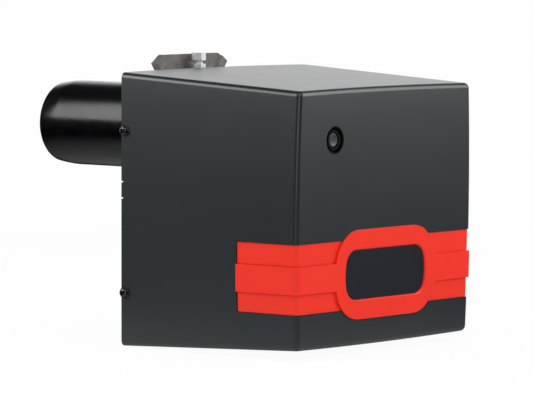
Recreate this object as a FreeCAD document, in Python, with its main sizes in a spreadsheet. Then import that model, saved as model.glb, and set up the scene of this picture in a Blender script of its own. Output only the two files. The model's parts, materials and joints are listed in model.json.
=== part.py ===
import FreeCAD, Part
import math
import os
import re
import Sketcher

# Light-oil burner with a boxed cover, a sliding boiler flange and a blast tube.
# The origin lies on the blast tube's axis, at the flange's boiler-side face.
# +Y runs along the tube into the boiler, -Y is the front with the badge, +Z is up.

sizes = {
    # blast tube
    "tubeDiameter": 90.0,
    "tubeWall": 1.5,
    "tubeReach": 169.0,
    "tubeNoseLength": 24.0,
    "tubeNoseDrop": 2.4,
    "tubeLip": 4.0,
    "tubeFlangeDiameter": 116.0,
    "tubeFlangeThickness": 3.0,
    "tubeBoltCircle": 103.0,
    # cover
    "coverBack": 42.5,
    "coverDepth": 225.6,
    "coverLean": 0.67,
    "coverRearWidth": 297.5,
    "coverTaper": 20.3,
    "coverRearTop": 63.0,
    "coverTopDrop": 13.0,
    "coverRearBottom": 215.6,
    "coverBottomRise": 8.8,
    "coverSideCrown": 3.4,
    "coverTopCrown": 1.3,
    "coverWall": 3.4,
    "coverCorner": 5.0,
    "coverFrontRound": 3.6,
    "slotWidth": 5.6,
    "knockoutSlit": 1.4,
    "knockoutDepth": 2.4,
    "knockoutTop": 48.0,
    "knockoutHeight": 16.5,
    "bottomOpeningWidth": 230.0,
    "bottomOpeningLength": 150.0,
    "bottomOpeningStart": 32.0,
    "bottomOpeningRound": 12.0,
    # red trim round the front
    "bandTop": 101.4,
    "bandHeight": 69.8,
    "bandReturn": 76.8,
    "bandGroove": 2.4,
    "bandRecess": 1.2,
    "bandGap": 0.3,
    "seatSink": 0.05,
    "bandRound": 2.6,
    "stripTop": 123.4,
    "stripHeight": 27.6,
    "stripProud": 1.5,
    "frameWidth": 160.0,
    "frameTop": 91.4,
    "frameHeight": 90.0,
    "frameCorner": 36.0,
    "frameFlare": 2.5,
    "frameChamfer": 0.8,
    "badgeWidth": 128.5,
    "badgeCornerWidth": 116.0,
    "badgeTop": 111.9,
    "badgeHeight": 49.5,
    "badgeCorner": 10.0,
    "badgeSink": 1.9,
    "badgeFit": 0.15,
    # reset button
    "buttonOffset": 83.3,
    "buttonHole": 28.0,
    "buttonDiameter": 13.7,
    "buttonSink": 2.2,
    "buttonDish": 0.6,
    "sleeveCollar": 20.0,
    "sleeveCollarSink": 1.2,
    "sleeveFloorSink": 4.6,
    "sleeveLength": 8.0,
    "sleeveFit": 0.4,
    # cover screws
    "screwInset": 4.4,
    "screwUpper": 4.0,
    "screwLower": 161.0,
    "screwDiameter": 5.0,
    "screwLength": 14.0,
    "screwFlange": 11.8,
    "screwFlangeThickness": 1.1,
    "screwHead": 9.4,
    "screwHeadHeight": 2.8,
    "screwSocket": 3.0,
    # rear plate
    "plateThickness": 2.5,
    "plateInset": 0.5,
    "plateGap": 0.3,
    "tabDepth": 16.0,
    "nutHex": 8.0,
    "tabThickness": 2.0,
    "tabHeight": 26.0,
    # boiler flange
    "flangeThickness": 10.0,
    "flangeTop": 77.0,
    "flangeTopWidth": 87.0,
    "flangeHornWidth": 110.4,
    "flangeHornHeight": 68.3,
    "flangeNotchWidth": 99.0,
    "flangeNotchHeight": 60.5,
    "flangeWidth": 124.0,
    "flangeEar": 50.0,
    "flangeBottom": 62.0,
    "flangeRelief": 1.6,
    "flangeReliefWidth": 75.0,
    "collarDiameter": 110.0,
    "collarLength": 16.0,
    "bossWidth": 20.0,
    "bossTop": 60.5,
    "slotSpacing": 92.0,
    "slotHeightSpacing": 92.0,
    "slotLength": 17.0,
    "studHole": 9.0,
    "tubeFit": 0.06,
    "setScrewDiameter": 8.0,
    "setScrewHex": 13.0,
    "setScrewHeadHeight": 8.0,
    "lockNutHeight": 6.5,
    "lockNutGap": 3.7,
    # fan housing and head chamber
    "fanBack": 97.5,
    "fanDrop": 108.0,
    "fanDiameter": 133.0,
    "fanWidth": 52.0,
    "fanInnerDiameter": 108.0,
    "fanBladeThickness": 1.2,
    "fanBladeSweep": 9.0,
    "fanBladeCount": 24,
    "fanPlateThickness": 2.0,
    "fanHubDiameter": 30.0,
    "fanHubLength": 24.0,
    "housingWidth": 68.0,
    "housingWall": 3.0,
    "scrollRadius": 74.0,
    "scrollStep": 4.0,
    "intakeDiameter": 84.0,
    "chamberWidth": 100.0,
    "chamberTop": 45.0,
    "chamberBottom": 50.0,
    "chamberGap": 53.1,
    "doorThickness": 3.0,
    "sidePlateThickness": 4.0,
    # motor and shaft
    "motorDiameter": 92.0,
    "motorGap": 14.96,
    "motorCapLength": 16.0,
    "motorCapDiameter": 86.0,
    "motorFinCount": 12,
    "motorFinHeight": 2.4,
    "motorFinWidth": 3.0,
    "shaftDiameter": 12.7,
    "shaftFit": 0.05,
    "shaftSetback": 12.0,
    "capacitorDiameter": 34.0,
    "capacitorGap": 3.5,
    "capacitorEdge": 44.2,
    "capacitorBevel": 2.0,
    "capacitorHeight": 18.0,
    # pump side
    "pumpGap": 16.96,
    "caseLength": 112.0,
    "caseHeight": 113.0,
    "caseWall": 3.0,
    "caseCorner": 7.0,
    "mouthMargin": 6.0,
    "couplingDiameter": 26.0,
    "couplingLength": 26.0,
    "pumpShaftDiameter": 8.0,
    "pumpHub": 32.0,
    "pumpSide": 58.0,
    "pumpCorner": 8.0,
    "pumpDepth": 34.0,
    "pumpCoverDiameter": 50.0,
    "pumpCoverDepth": 16.0,
    "portBore": 11.4,
    "portDepth": 12.0,
    "portSpacing": 30.0,
    "portBoss": 18.0,
    "portBossHeight": 6.0,
    "regulatorDiameter": 12.0,
    "regulatorLength": 10.0,
    "stemDiameter": 12.0,
    "stemHeight": 44.0,
    "coilSide": 32.0,
    "coilHeight": 30.0,
    # air damper
    "spindleDiameter": 6.0,
    "spindleFit": 0.05,
    "spindleRise": 20.0,
    "flapThickness": 1.5,
    "flapClearance": 1.6,
    "leverLength": 26.0,
    "leverThickness": 3.0,
    "leverWidth": 9.0,
    "scaleRadius": 30.0,
    "scaleThickness": 1.5,
    # nozzle line
    "holderDiameter": 16.0,
    "holderReach": 11.0,
    "nozzleHex": 16.0,
    "nozzleSetback": 38.0,
    "nozzleHexLength": 9.0,
    "nozzleLength": 20.0,
    "nozzleTip": 8.0,
    "diffuserDiameter": 76.0,
    "diffuserThickness": 1.5,
    "diffuserSetback": 26.0,
    "diffuserBore": 24.0,
    "diffuserSlotCount": 12,
    "diffuserSlotWidth": 1.8,
    "supportThickness": 2.0,
    "supportWidth": 8.0,
    "supportReach": 26.0,
    "electrodeSpread": 13.0,
    "electrodeRise": 18.0,
    "rodDiameter": 2.4,
    "rodTip": 5.0,
    "rodGap": 4.0,
    "insulatorDiameter": 11.0,
    "insulatorLength": 62.0,
    "clampLength": 10.0,
    "clampWall": 3.0,
    "leadDiameter": 7.0,
    "leadSetback": 50.0,
    "leadEntryStep": 20.0,
    "leadBend": 14.0,
    "photocellDiameter": 16.0,
    "photocellLength": 32.0,
    "photocellOffset": 26.0,
    "photocellRise": 22.0,
    # transformer and control box
    "transformerGap": 18.0,
    "transformerLength": 96.0,
    "transformerSetback": 10.0,
    "transformerTop": 42.0,
    "transformerHeight": 84.0,
    "transformerLeg": 3.0,
    "boxInner": 56.0,
    "boxSideGap": 6.1,
    "boxTop": 40.0,
    "boxHeight": 86.0,
    "boxGap": 20.1,
    "boxDepth": 43.0,
    "boxRound": 3.0,
    "baseDepth": 18.0,
    "guideDepth": 10.0,
    "buttonRoot": 5.0,
    # pipe, cable and small parts
    "pipeDiameter": 6.0,
    "pipeBend": 16.0,
    "pipeDrop": 125.0,
    "unionNut": 13.0,
    "unionLength": 10.0,
    "glandDiameter": 20.0,
    "glandBore": 9.4,
    "glandLength": 24.0,
    "glandHex": 24.0,
    "glandHexLength": 6.0,
    "glandEdge": 44.2,
    "glandDrop": 20.0,
    "terminalWidth": 48.0,
    "terminalHeight": 22.0,
    "terminalDepth": 20.0,
    "terminalEdge": 8.0,
    "terminalRise": 20.0,
    "boltDiameter": 6.0,
    "boltHead": 10.0,
    "boltHeadHeight": 4.0,
    "smallBoltHead": 7.0,
    "smallBoltHeadHeight": 2.6,
}

# Sizes that follow from the ones above: what stands inside the cover keeps its gaps to it.
follows = {
    "coverFrontWidth": "coverRearWidth - coverTaper",
    "coverFrontTop": "coverRearTop - coverTopDrop",
    "coverFrontBottom": "coverRearBottom - coverBottomRise",
    "taperSlope": "coverTaper / 2 / coverDepth",
    "plateDepth": "plateInset + plateThickness",
    "plateHalf": "coverRearWidth / 2 - coverWall - plateGap - taperSlope * (plateDepth + tabDepth)",
    "glandOffset": "plateHalf - glandEdge",
    "capacitorOffset": "plateHalf - capacitorEdge",
    "terminalOffset": "plateHalf - terminalEdge - terminalWidth / 2",
    "insideFan": "coverRearWidth / 2 - coverWall - taperSlope * fanBack",
    "motorLength": "insideFan - motorGap - motorCapLength - sidePlateThickness - housingWidth / 2",
    "shaftDepth": "motorLength - shaftSetback",
    "caseDepth": "insideFan - pumpGap - pumpCoverDepth - pumpDepth - housingWidth / 2",
    "chamberFront": "coverBack + coverDepth - chamberGap",
    "holderFront": "chamberFront + holderReach",
    "pipeFront": "holderFront + holderDiameter / 2",
    "leadEntry": "chamberFront - leadSetback",
    "transformerFront": "chamberFront - transformerSetback",
    "insideFront": "coverFrontWidth / 2 - coverWall",
    "transformerDepth": "insideFront + taperSlope * chamberGap - transformerGap - chamberWidth / 2",
    "capacitorLength": "transformerFront - transformerLength - capacitorGap - coverBack - plateDepth",
    "boxFront": "coverBack + coverDepth - boxGap",
    "boxWidth": "insideFront + taperSlope * boxGap - boxSideGap - boxInner",
}

document = FreeCAD.newDocument("LightOilBurner")
sheet = document.addObject("Spreadsheet::Sheet", "Sizes")
rows = {**sizes, **{name: f"={rule}" for name, rule in follows.items()}}
for row, (sizeName, size) in enumerate(rows.items(), 1):
    sheet.set(f"A{row}", sizeName)
    sheet.set(f"B{row}", str(size))
    sheet.setAlias(f"B{row}", sizeName)
document.recompute()

nodes = []
cuts = []


def bound(text):
    """An expression whose size names point at the sheet."""

    def link(word):
        name = word.group(0)
        return f"Sizes.{name}" if name in rows else name

    return re.sub(r"[A-Za-z]\w*", link, text)


def number(text):
    """The value of an expression of size names."""
    found = sheet.evalExpression(bound(text))
    return float(getattr(found, "Value", found))


def bind(item, path, text):
    item.setExpression(path, bound(text))


def newBody(label, x="0", y="0", z="0", several=False):
    """A body whose own origin stands at the given place."""
    body = document.addObject("PartDesign::Body", label)
    body.Label = label
    body.AllowCompound = several
    for axis, place in (("x", x), ("y", y), ("z", z)):
        bind(body, f"Placement.Base.{axis}", place)
    nodes.append(body)
    return body


def originPart(body, role):
    return [part for part in body.Origin.OriginFeatures if part.Role == role][0]


def newSketch(body, name, plane, offset="0", lean=False):
    """A sketch parallel to one of the body's own planes, leaned back with the cover's front if asked."""
    item = body.newObject("Sketcher::SketchObject", f"{body.Name}_{name}_sketch")
    item.AttachmentSupport = [(originPart(body, plane), "")]
    item.MapMode = "FlatFace"
    if lean:
        tilt = FreeCAD.Rotation(FreeCAD.Vector(1, 0, 0), number("coverLean"))
        item.AttachmentOffset = FreeCAD.Placement(FreeCAD.Vector(), tilt)
        bind(item, "AttachmentOffset.Rotation.Angle", "coverLean")
    bind(item, "AttachmentOffset.Base.z", offset)
    return item


def pin(item, kind, name, geometry, point, text):
    """One named distance from the sketch's origin, bound to sizes."""
    index = item.addConstraint(Sketcher.Constraint(kind, -1, 1, geometry, point, number(text)))
    item.renameConstraint(index, name)
    bind(item, f"Constraints.{name}", text)


def vectorOf(point):
    return FreeCAD.Vector(number(point[0]), number(point[1]), 0)


def arcThrough(start, middle, end):
    """An arc that turns anticlockwise, and whether it starts at the first point."""
    turn = (middle - start).cross(end - middle).z
    circle = Part.Arc(start, middle, end).toShape().Curve
    centre = circle.Center
    first, last = (start, end) if turn > 0 else (end, start)
    low = math.atan2(first.y - centre.y, first.x - centre.x)
    high = math.atan2(last.y - centre.y, last.x - centre.x)
    if high <= low:
        high += 2 * math.pi
    flat = Part.Circle(centre, FreeCAD.Vector(0, 0, 1), circle.Radius)
    return Part.ArcOfCircle(flat, low, high), turn > 0


def outline(corners, crowns=None):
    """A closed outline. A crown is the point that a curved edge passes through, by its edge's number."""
    crowns = crowns or {}

    def draw(item):
        base = item.GeometryCount
        points = [vectorOf(corner) for corner in corners]
        count = len(points)
        ends = []
        for edge in range(count):
            start = points[edge]
            end = points[(edge + 1) % count]
            if edge in crowns:
                arc, forward = arcThrough(start, vectorOf(crowns[edge]), end)
                item.addGeometry(arc, False)
                ends.append((1, 2) if forward else (2, 1))
            else:
                item.addGeometry(Part.LineSegment(start, end), False)
                ends.append((1, 2))
        for edge in range(count):
            following = (edge + 1) % count
            joint = Sketcher.Constraint(
                "Coincident", base + edge, ends[edge][1], base + following, ends[following][0]
            )
            item.addConstraint(joint)
        for edge in range(count):
            pin(item, "DistanceX", f"x{base + edge}", base + edge, ends[edge][0], corners[edge][0])
            pin(item, "DistanceY", f"y{base + edge}", base + edge, ends[edge][0], corners[edge][1])
        for edge, crown in crowns.items():
            mark = item.addGeometry(Part.Point(vectorOf(crown)), True)
            item.addConstraint(Sketcher.Constraint("PointOnObject", mark, 1, base + edge))
            pin(item, "DistanceX", f"x{mark}", mark, 1, crown[0])
            pin(item, "DistanceY", f"y{mark}", mark, 1, crown[1])

    return draw


def rectangle(left, right, low, high):
    return outline([(left, low), (right, low), (right, high), (left, high)])


def circle(x, y, diameter):
    def draw(item):
        centre = vectorOf((x, y))
        upward = FreeCAD.Vector(0, 0, 1)
        index = item.addGeometry(Part.Circle(centre, upward, number(diameter) / 2), False)
        pin(item, "DistanceX", f"x{index}", index, 3, x)
        pin(item, "DistanceY", f"y{index}", index, 3, y)
        rule = item.addConstraint(Sketcher.Constraint("Diameter", index, number(diameter)))
        item.renameConstraint(rule, f"wide{index}")
        bind(item, f"Constraints.wide{index}", diameter)

    return draw


def hexagon(x, y, across):
    """A hexagon with two flats level, measured across its flats."""
    half = f"({across}) / 2"
    side = f"({across}) / 2 * tan(30)"
    corner = f"({across}) / 2 / cos(30)"
    return outline(
        [
            (f"{x} - {side}", f"{y} - {half}"),
            (f"{x} + {side}", f"{y} - {half}"),
            (f"{x} + {corner}", y),
            (f"{x} + {side}", f"{y} + {half}"),
            (f"{x} - {side}", f"{y} + {half}"),
            (f"{x} - {corner}", y),
        ]
    )


def roundedRectangle(left, right, low, high, corner):
    """A rectangle with four equal round corners."""
    slack = f"({corner}) * (1 - cos(45))"
    corners = [
        (f"{left} + {corner}", low),
        (f"{right} - {corner}", low),
        (right, f"{low} + {corner}"),
        (right, f"{high} - {corner}"),
        (f"{right} - {corner}", high),
        (f"{left} + {corner}", high),
        (left, f"{high} - {corner}"),
        (left, f"{low} + {corner}"),
    ]
    crowns = {
        1: (f"{right} - {slack}", f"{low} + {slack}"),
        3: (f"{right} - {slack}", f"{high} - {slack}"),
        5: (f"{left} + {slack}", f"{high} - {slack}"),
        7: (f"{left} + {slack}", f"{low} + {slack}"),
    }
    return outline(corners, crowns)


def slot(x, y, length, width):
    """A slot along the first sketch axis with round ends."""
    half = f"({width}) / 2"
    reach = f"(({length}) - ({width})) / 2"
    corners = [
        (f"{x} - {reach}", f"{y} - {half}"),
        (f"{x} + {reach}", f"{y} - {half}"),
        (f"{x} + {reach}", f"{y} + {half}"),
        (f"{x} - {reach}", f"{y} + {half}"),
    ]
    crowns = {1: (f"{x} + {reach} + {half}", y), 3: (f"{x} - {reach} - {half}", y)}
    return outline(corners, crowns)


def pad(body, name, plane, low, high, *shapes, lean=False):
    """Material between two stations on the axis that the plane faces."""
    offset = f"-({high})" if plane == "XZ_Plane" else low
    item = newSketch(body, name, plane, offset, lean)
    for shape in shapes:
        shape(item)
    feature = body.newObject("PartDesign::Pad", f"{body.Name}_{name}")
    feature.Profile = item
    bind(feature, "Length", f"({high}) - ({low})")
    return feature


def pocket(body, name, plane, low, high, *shapes, lean=False):
    """A cut between two stations on the axis that the plane faces."""
    offset = f"-({low})" if plane == "XZ_Plane" else high
    item = newSketch(body, name, plane, offset, lean)
    for shape in shapes:
        shape(item)
    feature = body.newObject("PartDesign::Pocket", f"{body.Name}_{name}")
    feature.Profile = item
    bind(feature, "Length", f"({high}) - ({low})")
    cuts.append(feature)
    return feature


def turn(body, name, plane, axis, shape):
    """A full turn of an outline round the sketch's own axis."""
    item = newSketch(body, name, plane)
    shape(item)
    feature = body.newObject("PartDesign::Revolution", f"{body.Name}_{name}")
    feature.Profile = item
    feature.ReferenceAxis = (item, [axis])
    feature.Angle = 360
    return feature


def around(body, name, feature, axis, count):
    """Copies of a feature all the way round one of the body's axes."""
    pattern = body.newObject("PartDesign::PolarPattern", f"{body.Name}_{name}")
    pattern.Originals = [feature]
    pattern.Axis = (originPart(body, axis), [""])
    pattern.Angle = 360
    bind(pattern, "Occurrences", count)
    body.Tip = pattern
    return pattern


def blend(body, name, feature, radius, wanted, kind="Fillet"):
    """Rounds or bevels the edges of a feature that the test picks."""
    document.recompute()
    picked = [f"Edge{i}" for i, edge in enumerate(feature.Shape.Edges, 1) if wanted(edge)]
    item = body.newObject(f"PartDesign::{kind}", f"{body.Name}_{name}")
    item.Base = (feature, picked)
    bind(item, "Radius" if kind == "Fillet" else "Size", radius)
    return item


def alongX(edge):
    return edge.Curve.TypeId == "Part::GeomLine" and abs(edge.Curve.Direction.x) > 0.999


# Stations that several pieces share, as expressions of the driving sizes.
rearPlane = "-coverBack"
plateBack = "-coverBack - plateInset"
plateFront = "-coverBack - plateInset - plateThickness"
housingBack = f"{plateFront} - tubeFlangeThickness"
frontPlane = "coverBack + coverDepth"
fanY = "-coverBack - fanBack"
fanZ = "-fanDrop"
housingLeft = "-housingWidth / 2"
housingRight = "housingWidth / 2"
motorFace = "housingWidth / 2 + sidePlateThickness"
caseLeft = "-housingWidth / 2 - caseDepth"
pumpFace = caseLeft
chamberDoor = "-chamberFront"
holderEnd = "tubeReach - nozzleSetback"
spindleX = "-housingWidth / 2 - caseDepth / 2"
spindleZ = "-fanDrop - caseHeight / 2 + spindleRise"
topTaper = "coverTopDrop * plateDepth / coverDepth"
bottomTaper = "coverBottomRise * plateDepth / coverDepth"


def coverOutline(item, end, inset):
    """The cover's cross-section at its rear edge or front face, drawn inside the skin by an inset."""
    half = f"cover{end}Width / 2 - ({inset})"
    top = f"cover{end}Top - ({inset})"
    low = f"-cover{end}Bottom + ({inset})"
    middle = f"(cover{end}Top - cover{end}Bottom) / 2"
    side = f"{half} + coverSideCrown" if end == "Front" else f"{half} + coverSideCrown / 20"
    crowns = {
        0: ("0", f"{low} - coverTopCrown"),
        1: (side, middle),
        2: ("0", f"{top} + coverTopCrown"),
        3: (f"-({side})", middle),
    }
    outline([(f"-({half})", low), (half, low), (half, top), (f"-({half})", top)], crowns)(item)


def coverLoft(body, name, kind, inset, rear, front):
    """A tapered block between the cover's rear edge and its leaning front."""
    back = newSketch(body, f"{name}_rear", "XZ_Plane", rear)
    coverOutline(back, "Rear", inset)
    face = newSketch(body, f"{name}_front", "XZ_Plane", front, lean=True)
    coverOutline(face, "Front", inset)
    feature = body.newObject(f"PartDesign::{kind}", f"{body.Name}_{name}")
    feature.Profile = back
    feature.Sections = [face]
    feature.Ruled = True
    feature.Closed = False
    return feature


def coverBlock(body, inset, corner, frontRound):
    """The cover's form inside its skin by an inset, with rounded edges."""
    block = coverLoft(body, "block", "AdditiveLoft", inset, "coverBack", f"{frontPlane} - ({inset})")

    def sideEdge(edge):
        ends = [vertex.Point for vertex in edge.Vertexes]
        return len(ends) == 2 and abs(ends[0].y - ends[1].y) > number("coverDepth") / 2

    def frontEdge(edge):
        return max(vertex.Point.y for vertex in edge.Vertexes) < -number("coverBack + coverDepth / 2")

    long = blend(body, "corners", block, corner, sideEdge)
    return blend(body, "frontRound", long, frontRound, frontEdge)


def coverHollow(body, inset):
    """Takes out the cover's form inside its skin by an inset."""
    hollow = coverLoft(body, "hollow", "SubtractiveLoft", inset, "coverBack", f"{frontPlane} - ({inset})")
    cuts.append(hollow)
    return hollow


def keepBetween(body, name, low, high):
    """Cuts away all that lies above and below a level band."""
    wide = "coverRearWidth"
    pocket(body, f"{name}_above", "XZ_Plane", f"-({frontPlane}) - 10", "0",
           rectangle(f"-{wide}", wide, high, "coverRearTop + 20"))
    pocket(body, f"{name}_below", "XZ_Plane", f"-({frontPlane}) - 10", "0",
           rectangle(f"-{wide}", wide, "-coverRearBottom - 20", low))


bandLow = "-bandTop - bandHeight"
stripLow = "-stripTop - stripHeight"
frameLow = "-frameTop - frameHeight"
badgeLow = "-badgeTop - badgeHeight"
bandEnd = f"-({frontPlane}) + bandReturn"


def makeCoverShell():
    body = newBody("cover_shell")
    coverBlock(body, "0", "coverCorner", "coverFrontRound")
    # a shallow groove round the front takes the red band
    pocket(body, "groove", "XZ_Plane", f"-({frontPlane}) - 20", f"{bandEnd} + bandGap",
           rectangle("-coverRearWidth", "coverRearWidth", f"{bandLow} - bandGap", "-bandTop + bandGap"))
    coverLoft(body, "floor", "AdditiveLoft", "bandGroove", "coverBack", f"{frontPlane} - bandGroove")
    coverHollow(body, "coverWall")
    # open slots let the shell slide off its side screws
    for name, height in (("upper", "screwUpper"), ("lower", "-screwLower")):
        pocket(body, f"slot_{name}", "YZ_Plane", "-coverRearWidth", "coverRearWidth",
               outline([(f"{rearPlane} - screwInset", f"{height} - slotWidth / 2"),
                        (f"{rearPlane} + 5", f"{height} - slotWidth / 2"),
                        (f"{rearPlane} + 5", f"{height} + slotWidth / 2"),
                        (f"{rearPlane} - screwInset", f"{height} + slotWidth / 2")],
                       {3: (f"{rearPlane} - screwInset - slotWidth / 2", height)}))
    # two slits leave a break-out tab for a cable in the left edge
    slits = [rectangle(f"{rearPlane} - knockoutDepth", f"{rearPlane} + 5",
                       f"{high} - knockoutSlit / 2", f"{high} + knockoutSlit / 2")
             for high in ("-knockoutTop", "-knockoutTop - knockoutHeight")]
    pocket(body, "knockout", "YZ_Plane", "-coverRearWidth / 2 - coverSideCrown",
           "-coverRearWidth / 2 + coverWall * 2", *slits)
    # round hole for the reset button
    pocket(body, "button_hole", "XZ_Plane", f"-({frontPlane}) - 10", f"-({frontPlane}) + 10",
           circle("-buttonOffset", "0", "buttonHole"))
    # air comes in and the oil hoses go out through the bottom
    back = f"{rearPlane} - bottomOpeningStart"
    pocket(body, "bottom", "XY_Plane", "-coverRearBottom - 20", "-coverRearBottom + 30",
           roundedRectangle("-bottomOpeningWidth / 2", "bottomOpeningWidth / 2",
                            f"{back} - bottomOpeningLength", back, "bottomOpeningRound"))


def frontFaceEdges(shape):
    """The edges of the foremost face that looks forward."""
    best = None
    for face in shape.Faces:
        if face.Surface.TypeId != "Part::GeomPlane":
            continue
        normal = face.normalAt(0, 0)
        if normal.y < -0.99 and (best is None or face.CenterOfMass.y < best.CenterOfMass.y):
            best = face
    return [f"Edge{i}" for i, edge in enumerate(shape.Edges, 1)
            if any(edge.isSame(rim) for rim in best.Edges)]


def makeTrimBand():
    body = newBody("trim_band")
    coverBlock(body, "bandRecess", "bandRound", "bandRound")
    coverHollow(body, "bandGroove - seatSink")
    keepBetween(body, "keep", bandLow, "-bandTop")
    pocket(body, "ends", "XZ_Plane", bandEnd, "0",
           rectangle("-coverRearWidth", "coverRearWidth", "-coverRearBottom - 20", "coverRearTop + 20"))


def badgeOutline(extra):
    """The badge's bowed outline, grown by an extra."""
    high = f"-badgeTop + {extra}"
    low = f"{badgeLow} - {extra}"
    corner = f"badgeCornerWidth / 2 + {extra}"
    side = f"badgeWidth / 2 + {extra}"
    middle = "-badgeTop - badgeHeight / 2"
    return outline([(f"-({corner})", low), (corner, low), (corner, high), (f"-({corner})", high)],
                   {1: (side, middle), 3: (f"-({side})", middle)})


def beyondFrame(way, line, centre, far):
    """Outline of all that lies beyond the strip and the badge's ring, above it or below it."""
    middle = "(frameWidth / 2 - frameCorner)"
    rise = f"({way} * ({line} - ({centre})) + frameFlare)"
    joint = "(frameCorner + frameFlare)"
    along = f"sqrt({joint}^2 - {rise}^2)"
    share = f"frameCorner / {joint}"
    marks = [
        (f"{middle} + {along}", line),
        (f"{middle} + {along} - frameFlare * sin(35)", f"{line} + {way} * frameFlare * (1 - cos(35))"),
        (f"{middle} + {along} * {share}", f"{centre} + {way} * {rise} * {share}"),
        (f"{middle} + frameCorner * cos(50)", f"{centre} + {way} * frameCorner * sin(50)"),
        (middle, f"{centre} + {way} * frameCorner"),
    ]
    flare, onFlare, onRing, onCorner, top = marks
    left = [(f"-({x})", z) for x, z in marks]
    return outline([("-coverRearWidth", line), left[0], left[2], left[4], top, onRing, flare,
                    ("coverRearWidth", line), ("coverRearWidth", far), ("-coverRearWidth", far)],
                   {1: left[1], 2: left[3], 4: onCorner, 5: onFlare})


def makeTrimFrame():
    body = newBody("trim_frame")
    coverBlock(body, "-stripProud", "coverCorner", "coverFrontRound")
    coverHollow(body, "bandRecess - seatSink")
    pocket(body, "above", "XZ_Plane", f"-({frontPlane}) - 10", "0",
           beyondFrame("1", "-stripTop", "-frameTop - frameCorner", "coverRearTop + 20"))
    pocket(body, "below", "XZ_Plane", f"-({frontPlane}) - 10", "0",
           beyondFrame("-1", stripLow, f"{frameLow} + frameCorner", "-coverRearBottom - 20"))
    pocket(body, "ends", "XZ_Plane", bandEnd, "0",
           rectangle("-coverRearWidth", "coverRearWidth", "-coverRearBottom - 20", "coverRearTop + 20"))
    # above and below the band the ring lies on the cover's face
    pocket(body, "seats", "XZ_Plane", f"-({frontPlane})", f"-({frontPlane}) + 5",
           rectangle("-frameWidth", "frameWidth", "-bandTop", "0"),
           rectangle("-frameWidth", "frameWidth", "-coverRearBottom", bandLow), lean=True)
    window = pocket(body, "window", "XZ_Plane", f"-({frontPlane}) - 10", f"-({frontPlane}) + 5",
                    badgeOutline("badgeFit"), lean=True)
    document.recompute()
    rounded = body.newObject("PartDesign::Fillet", "trim_frame_window_corners")
    height = number("badgeCornerWidth / 2 - 1")
    picked = [f"Edge{i}" for i, edge in enumerate(window.Shape.Edges, 1)
              if edge.Curve.TypeId == "Part::GeomLine" and abs(edge.Curve.Direction.y) > 0.99
              and height < abs(edge.CenterOfMass.x) < height + 4]
    rounded.Base = (window, picked)
    bind(rounded, "Radius", "badgeCorner")
    document.recompute()
    bevel = body.newObject("PartDesign::Chamfer", "trim_frame_bevel")
    bevel.Base = (rounded, frontFaceEdges(rounded.Shape))
    bind(bevel, "Size", "frameChamfer")


def makeBadgePlate():
    body = newBody("badge_plate")
    plate = pad(body, "plate", "XZ_Plane", f"-({frontPlane}) - stripProud + badgeSink",
                f"-({frontPlane}) + bandRecess", badgeOutline("0"), lean=True)
    blend(body, "corners", plate, "badgeCorner", alongLean)


def alongLean(edge):
    straight = edge.Curve.TypeId == "Part::GeomLine"
    return straight and abs(edge.Curve.Direction.y) > 0.99


def makeButtonSleeve():
    """A stepped ring in the cover's hole, with an inner collar round the button."""
    body = newBody("button_sleeve", "-buttonOffset", f"-({frontPlane})")
    bore = "buttonDiameter / 2 + sleeveFit"
    rim = "buttonHole / 2"
    floor = "sleeveFloorSink"
    turn(body, "ring", "XY_Plane", "V_Axis", outline([
        (bore, "sleeveCollarSink"), ("sleeveCollar / 2", "sleeveCollarSink"),
        ("sleeveCollar / 2", floor), (f"{rim} - 1.2", floor), (f"{rim} - 1.2", "0.3"),
        (rim, "0.3"), (rim, "sleeveLength"), (bore, "sleeveLength")]))


def makeResetButton():
    body = newBody("reset_button", "-buttonOffset", f"-({frontPlane}) + buttonSink")
    root = "coverBack + coverDepth - buttonSink - boxFront + buttonRoot"
    turn(body, "stem", "XY_Plane", "V_Axis", outline([
        ("0", "buttonDish"), ("buttonDiameter / 2 - 2.4", "buttonDish"),
        ("buttonDiameter / 2 - 1.6", "0"), ("buttonDiameter / 2 - 0.6", "0"),
        ("buttonDiameter / 2", "0.6"), ("buttonDiameter / 2", root), ("0", root)]))


screwPlaces = [(f"{rearPlane} - screwInset", "screwUpper"), (f"{rearPlane} - screwInset", "-screwLower")]


def makeCoverScrews():
    """Flanged button screws through the open slots, two on each side."""
    body = newBody("cover_screws", several=True)
    under = "coverRearWidth / 2 + plateGap"
    top = f"{under} + screwFlangeThickness"
    for side, sign in (("right", "+"), ("left", "-")):
        spans = [("flange", under, top, "screwFlange"),
                 ("head", top, f"{top} + screwHeadHeight", "screwHead"),
                 ("shank", f"{under} - screwLength", under, "screwDiameter")]
        for name, low, high, wide in spans:
            if sign == "-":
                low, high = f"-({high})", f"-({low})"
            pad(body, f"{name}_{side}", "YZ_Plane", low, high, *[circle(y, z, wide) for y, z in screwPlaces])
        low, high = f"{top} + screwHeadHeight - 1.8", f"{top} + screwHeadHeight"
        if sign == "-":
            low, high = f"-({high})", f"-({low})"
        pocket(body, f"socket_{side}", "YZ_Plane", low, high,
               *[hexagon(y, z, "screwSocket") for y, z in screwPlaces])


def makeScrewNuts():
    """Weld nuts inside the side tabs."""
    body = newBody("weld_nuts", several=True)
    outer = "plateHalf - tabThickness"
    for side in ("right", "left"):
        low, high = f"{outer} - 4", outer
        if side == "left":
            low, high = f"-({high})", f"-({low})"
        shapes = []
        for y, z in screwPlaces:
            shapes += [hexagon(y, z, "nutHex"), circle(y, z, "screwDiameter + 0.1")]
        pad(body, f"nuts_{side}", "YZ_Plane", low, high, *shapes)


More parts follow.
